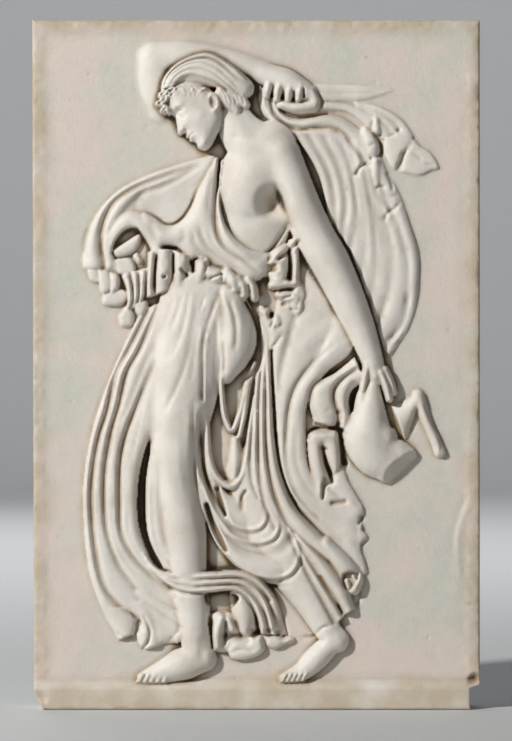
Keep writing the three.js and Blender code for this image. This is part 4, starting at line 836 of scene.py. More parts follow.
    r.joined(calf, 0.9)
    loops = (
        [(-26, -126), (-20, -138), (-8, -143), (2, -142), (8, -136), (9.5, -128), (7, -115), (3, -104)],
        [(-40, -116), (-33, -130), (-22, -146), (-8, -153), (6, -154), (16, -149), (20, -140), (17, -126), (11, -112)],
        [(-46, -122), (-38, -141), (-30, -158), (-14, -175), (2, -183), (18, -185), (30, -180), (37, -168), (36, -156), (29, -142)],
    )
    for path in loops:
        r.groove(path, 3, -1.8)
        r.groove([(1.04 * x + 0.4, z - 3.4) for x, z in path], 3.4, 1.7)
    r.groove([(-6, -158), (10, -163), (24, -160), (31, -150)], 7, [0.3, 1.0, 2.0, 2.6])
    r.groove([(-24, -185), (0, -190), (16, -193), (30, -192)], 3, 1.6)
    r.groove([(-9, -110), (-12, -115), (-12.5, -126)], 2.6, [3.5, 4, 1.5])
    r.groove([(34, -150), (44, -168), (56, -187), (66, -203), (75, -216)], 2.8, [1.2, 2.2, 2.2, 2, 1.6])
    r.groove([(26, -142), (34, -160), (46, -184), (58, -206), (68, -225)], 3.2, [1.2, 2.2, 2.6, 2.6, 2.4])
    r.limb([[60, -156, 7, 3, 13], [76, -175, 9.5, 3, 12.5], [84, -187, 9.5, 3, 11.5], [85, -194, 7, 2, 10]], 0.7)
    r.sink([(74, -181), (82, -178), (91, -179.5), (91, -186), (86, -194), (81, -198.5), (76, -196), (73, -189)], 4, 3)
    r.limb([[79, -188, 2.2, 3, 9], [80.5, -194, 2.2, 3, 8.5]])
    r.limb([[84.5, -183.5, 1.8, 3, 9], [87, -189, 1.8, 3, 8]])
    r.groove([(90, -192), (90.5, -202), (87, -211)], 2.2, 2)
    r.groove([(71, -208), (75, -219)], 2.6, 3)


def hem(r):
    """The hem about the ankles: a twisted band across the shin, and the turned edges under it."""
    over = [[-100, -160, 6], [-84, -178, 8], [-62, -181, 12], [-36, -180, 12], [-12, -180, 10], [4, -187, 8], [16, -202, 6], [27, -236, 2]]
    below = [[-92, -178, 5], [-76, -191, 7], [-62, -198, 10], [-40, -198, 9], [-20, -197, 7], [-8, -204, 6], [0, -218, 5], [4, -234, 3]]

    def mass(part):
        part.folds([over, below], [3], [[13, 19, 21, 19, 14, 10]], 0.6)
        part.limb([[-16, -200, 7, 4, 12], [-11, -215, 10, 3, 13], [-9, -230, 8, 2, 11]], 0.7)
        part.pad([(-42, -217), (-24, -215), (-11, -225), (-7, -241), (-24, -250), (-40, -248)], 1, 6.5, 5)
        part.limb([[-30, -220, 4.5, 3, 13], [-34, -233, 5.4, 3, 13.5], [-33.5, -245, 4, 2, 11]])
        part.limb([[-24, -221, 3.4, 3, 11], [-20, -231, 3.2, 3, 10]])
        part.pad([(-26, -248), (-20, -240), (-8, -236), (4, -236), (8, -247), (0, -254.5), (-20, -256.5)], 1, 8, 5)
        part.pad([(8, -237), (22, -236), (34, -239), (25, -244), (17, -247.5), (10, -245)], 0.8, 6.5, 4)

    r.joined(mass, 0.7)
    for path, width, depth in (
        ([(-82, -182), (-60, -184), (-40, -184.5), (-18, -184), (-4, -187), (6, -196), (12, -205)], 2.8, [0.8, 1.6, 2.2, 2.4, 2.6, 3, 3.6]),
        ([(-60, -190), (-36, -190), (-14, -190.5), (-2, -196), (5, -206), (9, -219), (11, -231)], 2.6, [0.8, 2, 2.4, 2.6, 2.6, 3, 3]),
        ([(-79, -190), (-66, -197), (-40, -198), (-18, -196.5), (-9, -202), (-2, -213), (2, -226), (3, -232)], 2.8, [1.4, 2.8, 2.4, 2.4, 2.6, 2.8, 3, 3]),
        ([(8, -198), (14, -209), (19.5, -221), (24, -236)], 6, [1.5, 5, 8, 8]), ([(-70, -198), (-69.5, -204)], 2.4, 1.8),
        ([(-66, -216), (-70, -211)], 3, 1.0), ([(-40, -220), (-39.5, -232), (-40, -246)], 4.6, [3, 7, 6]),
        ([(-27, -222), (-26.5, -234), (-27, -244)], 2, 3), ([(-18, -222), (-15, -230), (-12, -238)], 2.6, 3),
        ([(-26, -236), (-17, -236.5), (-8, -240)], 6, [4, 6, 4]), ([(-5, -228), (-1, -236), (4, -231)], 4, 5), ([(6, -232), (14, -233), (22, -235)], 5, 5),
        ([(-22, -250), (-10, -247), (0, -249)], 2.4, 1.2), ([(5, -239), (7, -247)], 2, 2.4), ([(-52, -243), (-56, -245)], 2, 1),
    ):
        r.groove(path, width, depth)
    r.sink([(-46, -199.5), (-32, -199), (-18, -199), (-14, -203), (-17, -209), (-27, -218), (-34, -215), (-44, -208)], 2.5, 1.4)
    # the trailing hem at the far left, two open flutes and a flat turned edge
    r.folds([
        [[-134, -212, 0.5], [-127, -227, 0.5], [-120, -240, 0.5]], [[-112, -212, 4], [-106, -222, 4], [-106, -234, 3]],
    ], [1], [[7, 7.5, 8]], 0.7)
    r.folds([
        [[-112, -208, 4], [-101, -220, 4], [-98, -247, 0.5]], [[-96, -206, 5], [-88, -222, 4], [-82, -243, 0.5]],
    ], [1], [[7, 8, 7]], 0.7)
    r.pad([(-66, -229), (-62, -233), (-63, -238), (-69, -243), (-72, -238)], 2, 8.5, 2.5)
    r.groove([(-98, -247), (-93.5, -240), (-92.5, -231), (-97, -220)], 2.6, [3, 4, 4, 1.5])
    r.groove([(-118, -211), (-109, -217), (-101, -222)], 2.6, 1.6)
    r.groove([(-121, -232), (-116, -237), (-106, -237)], 2.6, 1.8)
    r.groove([(-72, -236), (-76, -242)], 1.8, 1.2)
    r.sink([(-106.5, -224), (-101, -223), (-99.5, -230), (-101, -234.5), (-105.5, -235)], 1.5, 2)


def feet(r):
    """The near foot flat on its toes, and the far foot seen from the side with the heel up."""
    toes(r, [-74, -269], [-101, -269], 10.5)
    toes(r, [46, -268], [24, -269], 10)

    def mass(part):
        part.limb([[-45, -256, 11, 1, 12], [-62, -260, 14, 1, 14], [-80, -267, 10, 1, 11], [-98, -273, 5.5, 1, 8.5]])
        part.limb([[-54, -232, 13, 2, 15], [-51, -250, 12.5, 2, 14]])
        part.limb([[64, -230, 9, 1, 10], [70, -240, 11, 1, 11.5]])
        part.limb([[66, -242, 9, 1, 11], [52, -256, 10, 1, 11.5], [40, -267, 8, 1, 9], [24, -273, 4, 1, 8]])

    r.joined(mass, 2.0)
    r.dome(-41, -251, 7, 6, 0, 0, 1.6, 2, add=True)
    r.dome(62, -238, 7, 6, 30, 0, 1.4, 2, add=True)
    r.groove([(-48, -236), (-46, -246), (-50, -258)], 6, 1.0)
    r.groove([(38, -238.5), (44, -237), (50, -236.5), (58, -228.5), (68, -226)], 2.2, 1.8)


def torso(r):
    """The bare neck, shoulder, chest and arm, in one."""

    def mass(part):
        part.limb([
            [12, 188, 24, 2, 19], [4, 168, 34, 2, 18], [1, 140, 33, 2, 16], [-2, 112, 29, 2, 13.5],
            [-4, 96, 24, 2, 11],
        ])
        part.limb([[-26, 222, 14, 1, 12], [-15, 204, 17.5, 1, 15.5], [-2, 188, 22, 1, 18]])
        part.limb([[-14, 224, 5, 1, 11], [-3, 210, 6, 1, 12.5], [16, 199, 7, 1, 15]])
        part.limb([
            [*SHOULDER, 17, 4, 22.5], [30, 160, 17, 4, 23.5], [41, 133, 17, 4, 24], [49, 116, 17, 4, 24], [*ELBOW, 16.7, 4, 23.5],
            [84, 48, 14, 4, 20], [94, 24, 11.5, 4, 17], [*WRIST, 9.5, 3, 14], [104, -10, 9, 3, 13],
        ])
        part.dome(-9, 151, 25, 24, 0, 0, 5.5, 0.9, add=True)

    r.joined(mass, 2.4)
    # the fold of the armpit and the hollow under the breast
    r.dome(14, 141, 19, 20, -25, 0, -11, 2.2, add=True)
    r.groove([(17, 156), (20, 148), (26, 133), (31, 120)], 4.5, [1, 4, 4, 2])
    r.groove([(-12, 132), (-2, 128.5), (8, 130), (18, 138)], 6, 1.4)
    r.groove([(-24, 200), (-12, 197), (2, 199)], 4, 0.7)
    r.groove([(-26, 188), (-20, 194), (-16, 204)], 5, 0.6)
    r.groove([(-6, 98), (4, 94.5), (12, 99), (21, 111), (28, 123)], 2.6, [1.5, 4, 4, 3, 1])


def dress(r):
    """The dress, pinned on the shoulder and puffed out over the belt, with a low neckline."""
    over = [
        (-33, 182), (-42, 167), (-50, 152.5), (-57, 136), (-64, 126), (-72, 121), (-79, 121.5), (-88, 127.5),
        (-98, 132), (-101, 124), (-94, 110), (-90, 99), (-83, 102), (-68, 102), (-59, 92), (-44, 90.5),
        (-26, 82), (-4, 72), (8, 78), (10, 92), (0, 97.5), (-12, 102), (-22, 112.5), (-30, 130), (-33.5, 150),
    ]

    def mass(part):
        part.pad(over, 7, 15.5, 15)
        part.folds([
            [[-30, 178, 10], [-33.5, 142, 11], [-32.5, 122, 11.5], [-28, 106, 12], [-14, 92, 12], [4, 80, 9]],
            [[-29.5, 178, 10], [-32, 142, 12], [-27, 122, 13], [-17, 108, 13], [-4, 99, 12], [12, 97, 8]],
        ], [1], [[14, 16.5, 18.5, 19, 17.5, 12]], 0.7)

    r.joined(mass, 1.1)
    r.groove([(-31, 178), (-33, 160), (-35, 142), (-35.5, 125), (-32.5, 110), (-26, 100), (-10, 89), (2, 81)], 3.2, [1.4, 3.2, 3.6, 3.6, 3.0, 2.4, 2.2, 1.5])
    r.groove([(-36, 176), (-39, 160), (-41, 145), (-41, 130)], 3.0, 1.3)
    r.groove([(-50, 124), (-47, 112), (-40, 101), (-26, 90), (-8, 80)], 4, 1.6)
    r.groove([(-42, 118), (-38, 106), (-28, 96), (-12, 86)], 3, 1.2)
    r.groove([(-56, 116), (-53, 105), (-46, 96), (-34, 88)], 3.4, 1.3)
    r.groove([(-64, 119), (-62, 110), (-66, 104)], 4, 1.1)
    r.groove([(-92, 124), (-88, 114), (-86, 106)], 5, 1.3)
    # the edge of the overfold against the cloak, undercut
    r.groove([(-96, 132.5), (-88, 129), (-79, 122.5), (-72, 122), (-64.5, 127), (-57.5, 136.5), (-50.5, 153)], 2.2, 2.2)


def belt(r):
    """The cloth puffed out over the hidden belt, in short loops and pleats with deep slots between."""
    r.folds([
        [[-94, 97, 4], [-95, 78, 4], [-96, 58, 2]],
        [[-86.5, 100, 6], [-88, 80, 5], [-88, 60, 2]],
        [[-72, 99.5, 7], [-72, 80, 7], [-73, 67, 3]],
        [[-57, 93, 7], [-58.5, 82, 7], [-61, 70, 4]],
    ], [1, 1, 1], [[13, 13, 10], [15.5, 17, 12], [17, 18, 14]], 0.6)

    def loops(part):
        part.limb([[-46.5, 89, 6.5, 6, 17], [-48, 80, 8, 6, 19.5], [-49, 75, 6.5, 5, 18]])
        part.limb([[-42, 80, 6, 8, 18], [-34, 77, 7, 8, 19.5], [-27, 75.5, 6, 8, 18]])
        part.limb([[-25, 80, 5, 8, 18], [-20, 72, 6.5, 8, 20], [-18.5, 66, 5.5, 6, 17]])
        part.limb([[-16, 74, 4.5, 8, 17], [-11.5, 67, 5, 6, 18], [-10.5, 61, 4.5, 5, 15]])
        part.limb([[-7, 74, 4.5, 7, 15], [-3, 66, 4.6, 6, 15], [-1.5, 58, 4, 4, 12]])

    r.joined(loops, 0.6)
    for path, width, depth in (
        ([(-83, 101.5), (-76, 102), (-68, 100.5)], 2.6, 6), ([(-55, 92), (-48, 91.6), (-43, 91.8)], 2.2, 5),
        ([(-56, 91), (-54.5, 85), (-54, 79)], 3.2, 8), ([(-86, 97), (-88, 80), (-89, 64)], 2.6, 4.5),
        ([(-71.5, 98), (-71.8, 86), (-71, 78)], 2.2, 4), ([(-81.5, 76.5), (-77.5, 76)], 2.6, 5),
        ([(-66, 84), (-62, 79.5), (-58, 76)], 2.8, 5), ([(-41, 74), (-35, 76.5), (-28.5, 78.5)], 1.8, 4),
        ([(-44, 90), (-43, 84), (-44, 79)], 1.6, 2), ([(-31, 81), (-29, 77), (-30, 72)], 1.6, 3),
        ([(-22.5, 70), (-21, 65)], 1.6, 2), ([(-13.5, 68), (-12, 60)], 1.4, 2.5), ([(-6.5, 70), (-5, 62)], 1.6, 3.5),
        ([(-79, 92), (-80, 84)], 3, 1.2), ([(-64.5, 95), (-66, 88)], 2.6, 1.2), ([(-49, 86), (-51, 78)], 2.4, 1),
    ):
        r.groove(path, width, depth)


def hanging_folds(r):
    """The ends of the overfold, fallen open beside the hip."""

    def mass(part):
        part.folds([[[11, 97, 6], [10, 84, 6], [12, 72, 4]], [[28, 106, 6], [28, 88, 6], [26, 72, 4]]], [1], [[13, 14, 12]], 0.7)
        part.folds([[[28, 108, 6], [30, 86, 5], [28, 72, 3]], [[38.5, 112, 2], [37.5, 88, 2], [38, 74, 1]]], [1], [[12, 12.5, 11.5]], 0.7)
        part.limb([[14, 69, 4, 4, 12], [24, 70, 4.4, 4, 13], [34, 71, 4.4, 2, 12]])
        part.limb([[20, 61, 3.6, 3, 10], [28, 59, 5, 3, 11], [35, 57, 5, 2, 10], [38, 50, 4, 1, 9], [36, 44, 3, 0.5, 7]])
        part.pad([(36, 73), (41, 69), (43.5, 60), (39.5, 50), (35.5, 42), (29, 50), (28, 58)], 1, 9, 5)
        part.pad([(2, 48), (11, 49), (13, 41), (17, 45), (22, 41), (25.5, 30), (21, 20), (12, 12), (10, 26), (5, 38)], 1, 8.5, 5, (0, 0.05))

    r.joined(mass, 0.7)
    fold = [(32, 116), (34, 109), (28, 101), (20, 97), (12.5, 88), (10.5, 80), (13, 74.5), (21, 73.5), (26.5, 80), (27.5, 94)]
    r.groove(fold, 3.4, -1.8)
    for path, width, depth in (
        ([(14.5, 88), (15.5, 80)], 7, 6), ([(20, 92), (29, 99), (37, 107)], 3.2, [5, 5, 3]), ([(30.5, 95), (30.5, 84), (30, 74)], 4.2, [3, 7, 7]),
        ([(34.5, 100), (34, 88), (34.5, 78)], 2.4, 1.4), ([(19, 62), (25, 66), (33, 66)], 2.2, 4), ([(23, 57.5), (32, 60)], 2, 3.5),
        ([(29, 48.5), (37, 47)], 1.8, 2), ([(38, 66), (39, 58), (35, 50)], 2.4, 1.4), ([(13, 45.5), (13.5, 40)], 4, 6),
        ([(16, 33), (20, 32), (22, 36)], 2.4, 2), ([(12, 31), (14, 35), (16, 41)], 2, 1.8), ([(3, 44), (8, 40)], 2, 1.2),
        ([(12, 14), (17, 18), (23, 26)], 2, 1.2), ([(22, 52), (27, 53)], 3, 3),
    ):
        r.groove(path, width, depth)


def lowered_arm(r):
    """The hand that grips the haunch, two fingers before it and two behind."""

    def mass(part):
        part.limb([[97, 2, 4, 3, 13], [94.5, -12, 3.6, 3, 14], [92.5, -23, 3.2, 3, 12]])
        part.limb([[101, 0, 6, 3, 14], [103.5, -10, 6, 3, 14]])
        part.limb([[108, -6, 4, 2, 14], [113, -19, 4, 2, 15], [116, -30, 3.4, 2, 14]])
        part.limb([[112, -4, 3.4, 2, 11], [117.5, -16, 3.2, 2, 11], [120, -25, 2.6, 2, 10]])

    r.joined(mass, 0.6)


def haunch(r):
    """The hind quarter of the kid, cut through, with its folded leg."""

    def body(part):
        part.limb([[102, -14, 5, 3, 11], [100, -36, 12, 3, 15], [98, -60, 22, 3, 19], [106, -76, 22, 3, 17.5], [116, -84, 19, 2, 14]])
        part.limb([[110, -76, 12, 3, 14], [122, -76, 11, 3, 13], [130, -80, 10, 2, 12]])
        part.groove([(98, -58), (108, -72), (120, -80)], 12, 0.8)
        part.groove([(112, -40), (110, -60), (113, -72), (120, -66)], 5, 1.4)

    r.joined(body, 1.4)

    def folded_leg(part):
        part.folds([
            [[119, -37, 0.5], [131, -30, 0.5], [141, -22, 0.5]], [[130, -66, 0.5], [137, -48, 0.5], [142, -34, 0.5]],
        ], [1], [[7, 7, 7]], 0.7)
        part.limb([[141, -27, 5.5, 0.5, 7.5], [148, -48, 4.6, 0.5, 7.5], [156, -66, 4.6, 0.5, 7.5], [160, -76, 5, 0.5, 7.5]])

    r.joined(folded_leg, 0.9)
    r.groove([(146, -34), (152, -48), (159, -61)], 2, 2)
    r.groove([(141, -36), (143, -48), (149, -62)], 2, 1)
    r.groove([(134, -60), (138, -46), (141, -38)], 3, 1.4)
    r.groove([(158.5, -62), (161, -70), (160.5, -80)], 1.8, 1.4)
    r.groove([(152, -70), (157, -73)], 1.6, 0.8)
    # the slanting cut through the body
    centre, turn, reach, high, half = (126.5, -86.5), math.radians(-47), 29, 13.5, 6.5
    dx, dz = XS[None, :] - centre[0], ZS[:, None] - centre[1]
    away = dx * math.cos(turn) + dz * math.sin(turn) + half
    cut = (np.hypot(dx, dz) < reach) & (away > 0)
    r.h[cut] = np.minimum(r.h, np.maximum(high - away * high / (2 * half), 0))[cut]


def hollows(r):
    """The deep shadows, drilled nearly down to the ground."""
    r.hollow([
        [-9, 54, 1.6, 2], [-2.5, 42, 2.2, 1], [2.2, 28, 2.6, 1], [3.6, 12, 2.6, 1], [1, -3, 3, 1], [-6, -10, 3.4, 1],
        [-15, -15, 4, 1], [-18.5, -32, 4.4, 1], [-21, -48, 3.2, 1],
    ])
    r.hollow([[-27.5, -60, 3, 1], [-31, -76, 4.4, 1], [-30, -92, 3.4, 1], [-27.5, -99, 2, 1]])
    r.hollow([[7, 73, 4, 1], [8, 60, 5, 1], [9, 51, 3.5, 1]])
    r.hollow([[-34, -108, 3, 1.5], [-31, -120, 3.4, 1.5], [-26.5, -131, 1.6, 1.5]])
    r.hollow([[-43, -122, 2.4, 2], [-38, -138, 3.6, 1.5], [-31, -153, 3.6, 1.5], [-26, -162, 1.8, 2]])
    r.hollow([[-37, -163, 2.6, 2], [-34, -172, 5, 2], [-33, -177, 4, 2]])




def carve():
    """All of the carving, worked from the ground outwards."""
    r = Relief()
    for form in (
        ledge, raised_arm, knife, scarf, cloak, far_cloth, skirt, legs, over_the_legs, hem, feet, torso,
        dress, belt, hanging_folds, lowered_arm, head, cap, hair, raised_hand, haunch, hollows, old_damage,
    ):
        form(r)
    return r.h


# ---------------------------------------------------------------- the marble as a mesh
def cells_to_halve(h, coarse, fine_here):
    """For each net, coarsest first, the cells whose flat facet would stray from the carving."""
    needs = []
    finer = None
    for level in reversed(range(HALVINGS)):
        size = 1 << (HALVINGS - level)
        rows, cols = NZ // size, NX // size
        t = np.arange(size) / size
        corner = h[::size, ::size]
        up = corner[:-1, None, :] * (1 - t[None, :, None]) + corner[1:, None, :] * t[None, :, None]
        up = up.reshape(rows * size, cols + 1)
        flat = up[:, :-1, None] * (1 - t) + up[:, 1:, None] * t
        stray = np.abs(h[:NZ, :NX] - flat.reshape(rows * size, cols * size))
        worst = stray.reshape(rows, size, cols, size).max((1, 3))
        need = worst > coarse[level]
        if level == HALVINGS - 1:
            need &= fine_here[:NZ, :NX].reshape(rows, size, cols, size).any((1, 3))
        if finer is not None:
            grown = np.pad(finer, 1)
            grown = np.any([
                grown[1 + i:grown.shape[0] - 1 + i, 1 + j:grown.shape[1] - 1 + j]
                for i in (-1, 0, 1) for j in (-1, 0, 1)
            ], axis=0)
            need |= grown.reshape(rows, 2, cols, 2).any((1, 3))
        needs.insert(0, need)
        finer = need
    return needs


def right_side(z):
    """Where the right side of the slab is, at a height up it: the lower corner is broken away."""
    return HALF_W - 8.5 * (1 - np.clip((z + 281) / 2.5, 0, 1))


def left_side(z):
    return -HALF_W + 1.5 * np.clip((HALF_H - z) / 580, 0, 1) + 8.5 * np.clip((-283 - z) / 17, 0, 1)


# the back is roughened on a net of squares of this size
BACK_SQUARE = 9.0


def front_face(bm, h, needs):
    bmesh.ops.create_grid(bm, x_segments=CELLS_X, y_segments=CELLS_Z, size=0.5)
    upright = Matrix.Rotation(math.radians(90), 4, "X")
    scale = Matrix.Diagonal((2 * HALF_W, 1, 2 * HALF_H, 1))
    bmesh.ops.transform(bm, matrix=scale @ upright, verts=bm.verts)
    for level, need in enumerate(needs):
        size = 1 << (HALVINGS - level)
        edges = set()
        for f in bm.faces:
            centre = f.calc_center_median()
            row = int((centre.z + HALF_H) / (PZ * size))
            col = int((centre.x + HALF_W) / (PX * size))
            if len(f.verts) == 4 and need[row, col]:
                edges.update(f.edges)
        bmesh.ops.subdivide_edges(bm, edges=list(edges), cuts=1, use_grid_fill=True)


def stone_mesh(h, shades, sizes):
    bm = bmesh.new()
    fine = fine_places()
    needs = cells_to_halve(h, (sizes.coarse_stray, sizes.middle_stray, sizes.fine_stray), fine)
    front_face(bm, h, needs)
    layers = {name: bm.verts.layers.float.new(name) for name in shades}
    for v in bm.verts:
        i, j = round((v.co.z + HALF_H) / PZ), round((v.co.x + HALF_W) / PX)
        for name, layer in layers.items():
            v[layer] = shades[name][i, j]
        x, z = v.co.x, v.co.z
        share = (x + HALF_W) / (2 * HALF_W)
        left, right = left_side(z), right_side(z)
        if x < 0:
            x += (left + HALF_W) * max(0, 1 + (x + HALF_W) / -24)
        else:
            x += (right - HALF_W) * max(0, 1 - (HALF_W - x) / 24)
        v.co = (x, -(SLAB + h[i, j]), z)
    rim = [e for e in bm.edges if e.is_boundary]
    ring = rim
    depths = (1.2, 10, 22, 34, SLAB)
    front_y = None
    for depth in depths:
        made = bmesh.ops.extrude_edge_only(bm, edges=ring)["geom"]
        verts = [g for g in made if isinstance(g, bmesh.types.BMVert)]
        ring = [g for g in made if isinstance(g, bmesh.types.BMEdge)]
        for v in verts:
            x, y, z = v.co
            y = -(SLAB - depth) if depth > 1.5 else y + depth
            if depth > 1.5:
                # sawn sides: long shallow waves and a little tearing, never outwards
                place = Vector((x, y, z))
                cut = sizes.side_roughness / MM * (0.5 + 0.5 * noise.noise(place * 0.05) + 0.35 * noise.noise(place * 0.4))
                cut = max(cut, 0) * (1 if depth < SLAB else 1.6)
                shrink = Vector((x / HALF_W, z / HALF_H))
                if abs(shrink.x) > abs(shrink.y):
                    x -= math.copysign(cut, x)
                else:
                    z -= math.copysign(cut, z)
            v.co = (x, y, z)
            for name, layer in layers.items():
                v[layer] = 1.0 if name == "ground" else 0.0
    back = bmesh.ops.edgeloop_fill(bm, edges=ring)["faces"]
    # the back, cut into squares and dressed with a point chisel
    for axis, half in ((0, HALF_W), (2, HALF_H)):
        normal = [float(k == axis) for k in range(3)]
        for k in range(1, int(2 * half / BACK_SQUARE)):
            place = [0.0, 0.0, 0.0]
            place[axis] = -half + k * BACK_SQUARE
            geom = set(back)
            for f in back:
                geom.update(f.verts)
                geom.update(f.edges)
            cut = bmesh.ops.bisect_plane(bm, geom=list(geom), dist=0.01, plane_co=place, plane_no=normal)
            back = [g for g in cut["geom"] if isinstance(g, bmesh.types.BMFace)]
    edge = {v for e in ring for v in e.verts}
    for v in {v for f in back for v in f.verts} - edge:
        if not any(len(f.verts) > 4 and f.calc_area() > 1.5 * BACK_SQUARE ** 2 for f in v.link_faces):
            dent = 0.5 + 0.5 * noise.noise(v.co * 0.03) + 0.5 * noise.noise(v.co * 0.17)
            v.co.y -= sizes.back_roughness / MM * min(max(dent, 0), 1)
            for name, layer in layers.items():
                v[layer] = 1.0 if name == "ground" else 0.0
    for v in bm.verts:
        v.co *= MM
    bmesh.ops.triangulate(bm, faces=[f for f in bm.faces if len(f.verts) > 3], quad_method="SHORT_EDGE", ngon_method="BEAUTY")
    bmesh.ops.recalc_face_normals(bm, faces=bm.faces)
    for f in bm.faces:
        f.smooth = True
    mesh = bpy.data.meshes.new("plaque_stone")
    bm.to_mesh(mesh)
    bm.free()
    return mesh


def fine_places():
    """Where the carving is finest: the head, the hands and the feet."""
    fine = np.zeros((NZ + 1, NX + 1), bool)
    for x0, z0, x1, z1 in ((-102, 185, 5, 280), (2, 218, 62, 262), (84, -36, 122, 12), (-108, -284, -20, -240), (14, -282, 86, -234)):
        rows = (ZS > z0) & (ZS < z1)
        cols = (XS > x0) & (XS < x1)
        fine |= rows[:, None] & cols[None, :]
    return fine


# ---------------------------------------------------------------- colours and materials
def linear(hex_colour):
    """An sRGB colour such as "#d9d2c4" as linear red, green, blue and alpha."""
    parts = [int(hex_colour[i:i + 2], 16) / 255 for i in (1, 3, 5)]
    return (*[p / 12.92 if p <= 0.04045 else ((p + 0.055) / 1.055) ** 2.4 for p in parts], 1.0)


def add_node(tree, kind, links=(), values=(), **settings):
    """One node. links are (input, output socket) pairs and values (input, number or colour) pairs."""
    node = tree.nodes.new(kind)
    for name, value in settings.items():
        setattr(node, name, value)
    for socket, value in dict(values).items():
        node.inputs[socket].default_value = value
    for socket, source in dict(links).items():
        tree.links.new(source, node.inputs[socket])
    return node


def carved_marble(colours):
    """Fine white marble, carved, rubbed smooth and long weathered: dull, a little see-through at its surface, creamy on
    the raised forms, with dirt and painted shade in the hollows, painted near-black shade in the deepest of them, and
    brown stains at its edges."""
    material = bpy.data.materials.new("carved_marble")
    material.use_nodes = True
    tree = material.node_tree
    tree.nodes.clear()
    place = add_node(tree, "ShaderNodeTexCoord").outputs["Object"]

    def noise(size, detail=3.0, roughness=0.55, seed=0.0):
        moved = add_node(tree, "ShaderNodeMapping", {"Vector": place}, {"Location": (seed, seed * 0.7, -seed)})
        return add_node(
            tree, "ShaderNodeTexNoise", {"Vector": moved.outputs[0]},
            {"Scale": 1 / (size * MM), "Detail": detail, "Roughness": roughness},
        ).outputs["Fac"]

    def spread(value, low, high, to_low=0.0, to_high=1.0):
        return add_node(
            tree, "ShaderNodeMapRange", {"Value": value},
            {"From Min": low, "From Max": high, "To Min": to_low, "To Max": to_high},
        ).outputs["Result"]

    def mixed(share, a, b, blend="MIX"):
        node = add_node(tree, "ShaderNodeMix", data_type="RGBA", blend_type=blend)
        for socket, value in ((0, share), (6, a), (7, b)):
            if isinstance(value, bpy.types.NodeSocket):
                tree.links.new(value, node.inputs[socket])
            else:
                node.inputs[socket].default_value = value
        return node.outputs[2]

    def sum_of(kind, a, b):
        node = add_node(tree, "ShaderNodeMath", operation=kind)
        for socket, value in ((0, a), (1, b)):
            if isinstance(value, bpy.types.NodeSocket):
                tree.links.new(value, node.inputs[socket])
            else:
                node.inputs[socket].default_value = value
        return node.outputs[0]

    def measure(name):
        return add_node(tree, "ShaderNodeAttribute", attribute_name=name).outputs["Fac"]

    figure = mixed(spread(noise(34, seed=3.1), 0.38, 0.62), linear("#dcd7cf"), linear("#d0c9bf"))
    pinkish = mixed(spread(noise(55, seed=1.3), 0.4, 0.6), linear("#d6c8bf"), linear("#c7c6bb"))
    ground = mixed(spread(noise(9, seed=5.2), 0.35, 0.65, 0, 0.35), pinkish, linear("#d6cfc5"))
    stone = mixed(measure("ground"), figure, ground)
    stained = mixed(sum_of("MULTIPLY", measure("stain"), spread(noise(22, seed=7.7), 0.3, 0.6, 0.4, 1)), stone, linear("#b39f80"))
    # brown in the grooves and hollows: partly dirt held there, partly painted shade
    dirt_and_shade_share = sum_of("MULTIPLY", spread(measure("recess_dirt_and_shade"), 0.0, 0.7), spread(noise(26, seed=9.1), 0.35, 0.65, 0.55, 1.0))
    with_dirt_and_shade = mixed(dirt_and_shade_share, stained, linear("#866a3e"))
    # painted shade: the deepest hollows are darkened towards near black
    deep = spread(measure("recess_dirt_and_shade"), 0.62, 1.0, 0, 0.92)
    with_dirt_and_shade = mixed(deep, with_dirt_and_shade, linear("#3a2f22"))
    grain = noise(1.6, detail=4, seed=2.2)
    speckled = mixed(spread(grain, 0.62, 0.75, 0, 0.35), with_dirt_and_shade, linear("#7d7060"))
    rough = spread(noise(7, seed=4.4), 0.3, 0.7, 0.5, 0.66)
    soft_dents = add_node(
        tree, "ShaderNodeBump", {"Height": noise(4.5, seed=6.1)}, {"Strength": 0.5, "Distance": 0.0006},
    ).outputs["Normal"]
    bump = add_node(
        tree, "ShaderNodeBump", {"Height": grain, "Normal": soft_dents}, {"Strength": 0.5, "Distance": 0.00025},
    ).outputs["Normal"]
    shader = add_node(
        tree, "ShaderNodeBsdfPrincipled", {"Base Color": speckled, "Roughness": rough, "Normal": bump},
        {"Subsurface Weight": 0.08, "Subsurface Radius": (1.0, 0.75, 0.5), "Subsurface Scale": 0.003, "IOR": 1.5},
    )
    add_node(tree, "ShaderNodeOutputMaterial", {"Surface": shader.outputs[0]})
    return material


def plain_floor(colour):
    material = bpy.data.materials.new("plain_floor")
    material.use_nodes = True
    shader = material.node_tree.nodes["Principled BSDF"]
    shader.inputs["Base Color"].default_value = (*colour, 1.0)
    shader.inputs["Roughness"].default_value = 0.8
    return material


# ---------------------------------------------------------------- sizes and colours to change
class PlaqueSizes(bpy.types.PropertyGroup):
    coarse_stray: FloatProperty(
        name="Coarse stray", description="How far a 4 mm facet may stray from the carving before it is halved",
        default=0.24, min=0.01)
    middle_stray: FloatProperty(
        name="Middle stray", description="How far a 2 mm facet may stray from the carving before it is halved",
        default=0.29, min=0.01)
    side_roughness: FloatProperty(
        name="Side roughness", description="How deep the saw marks of the sides go", default=0.0007, min=0,
        unit="LENGTH", subtype="DISTANCE")
    back_roughness: FloatProperty(
        name="Back roughness", description="How deep the chisel marks of the back go", default=0.0014, min=0,
        unit="LENGTH", subtype="DISTANCE")
    fine_stray: FloatProperty(
        name="Fine stray", description="How far a 1 mm facet of the head, hands and feet may stray",
        default=0.23, min=0.01)


class PlaqueColours(bpy.types.PropertyGroup):
    floor: FloatVectorProperty(
        name="Floor", description="Colour of the plain floor", subtype="COLOR", size=3,
        default=linear("#cfd1d2")[:3], min=0, max=1)


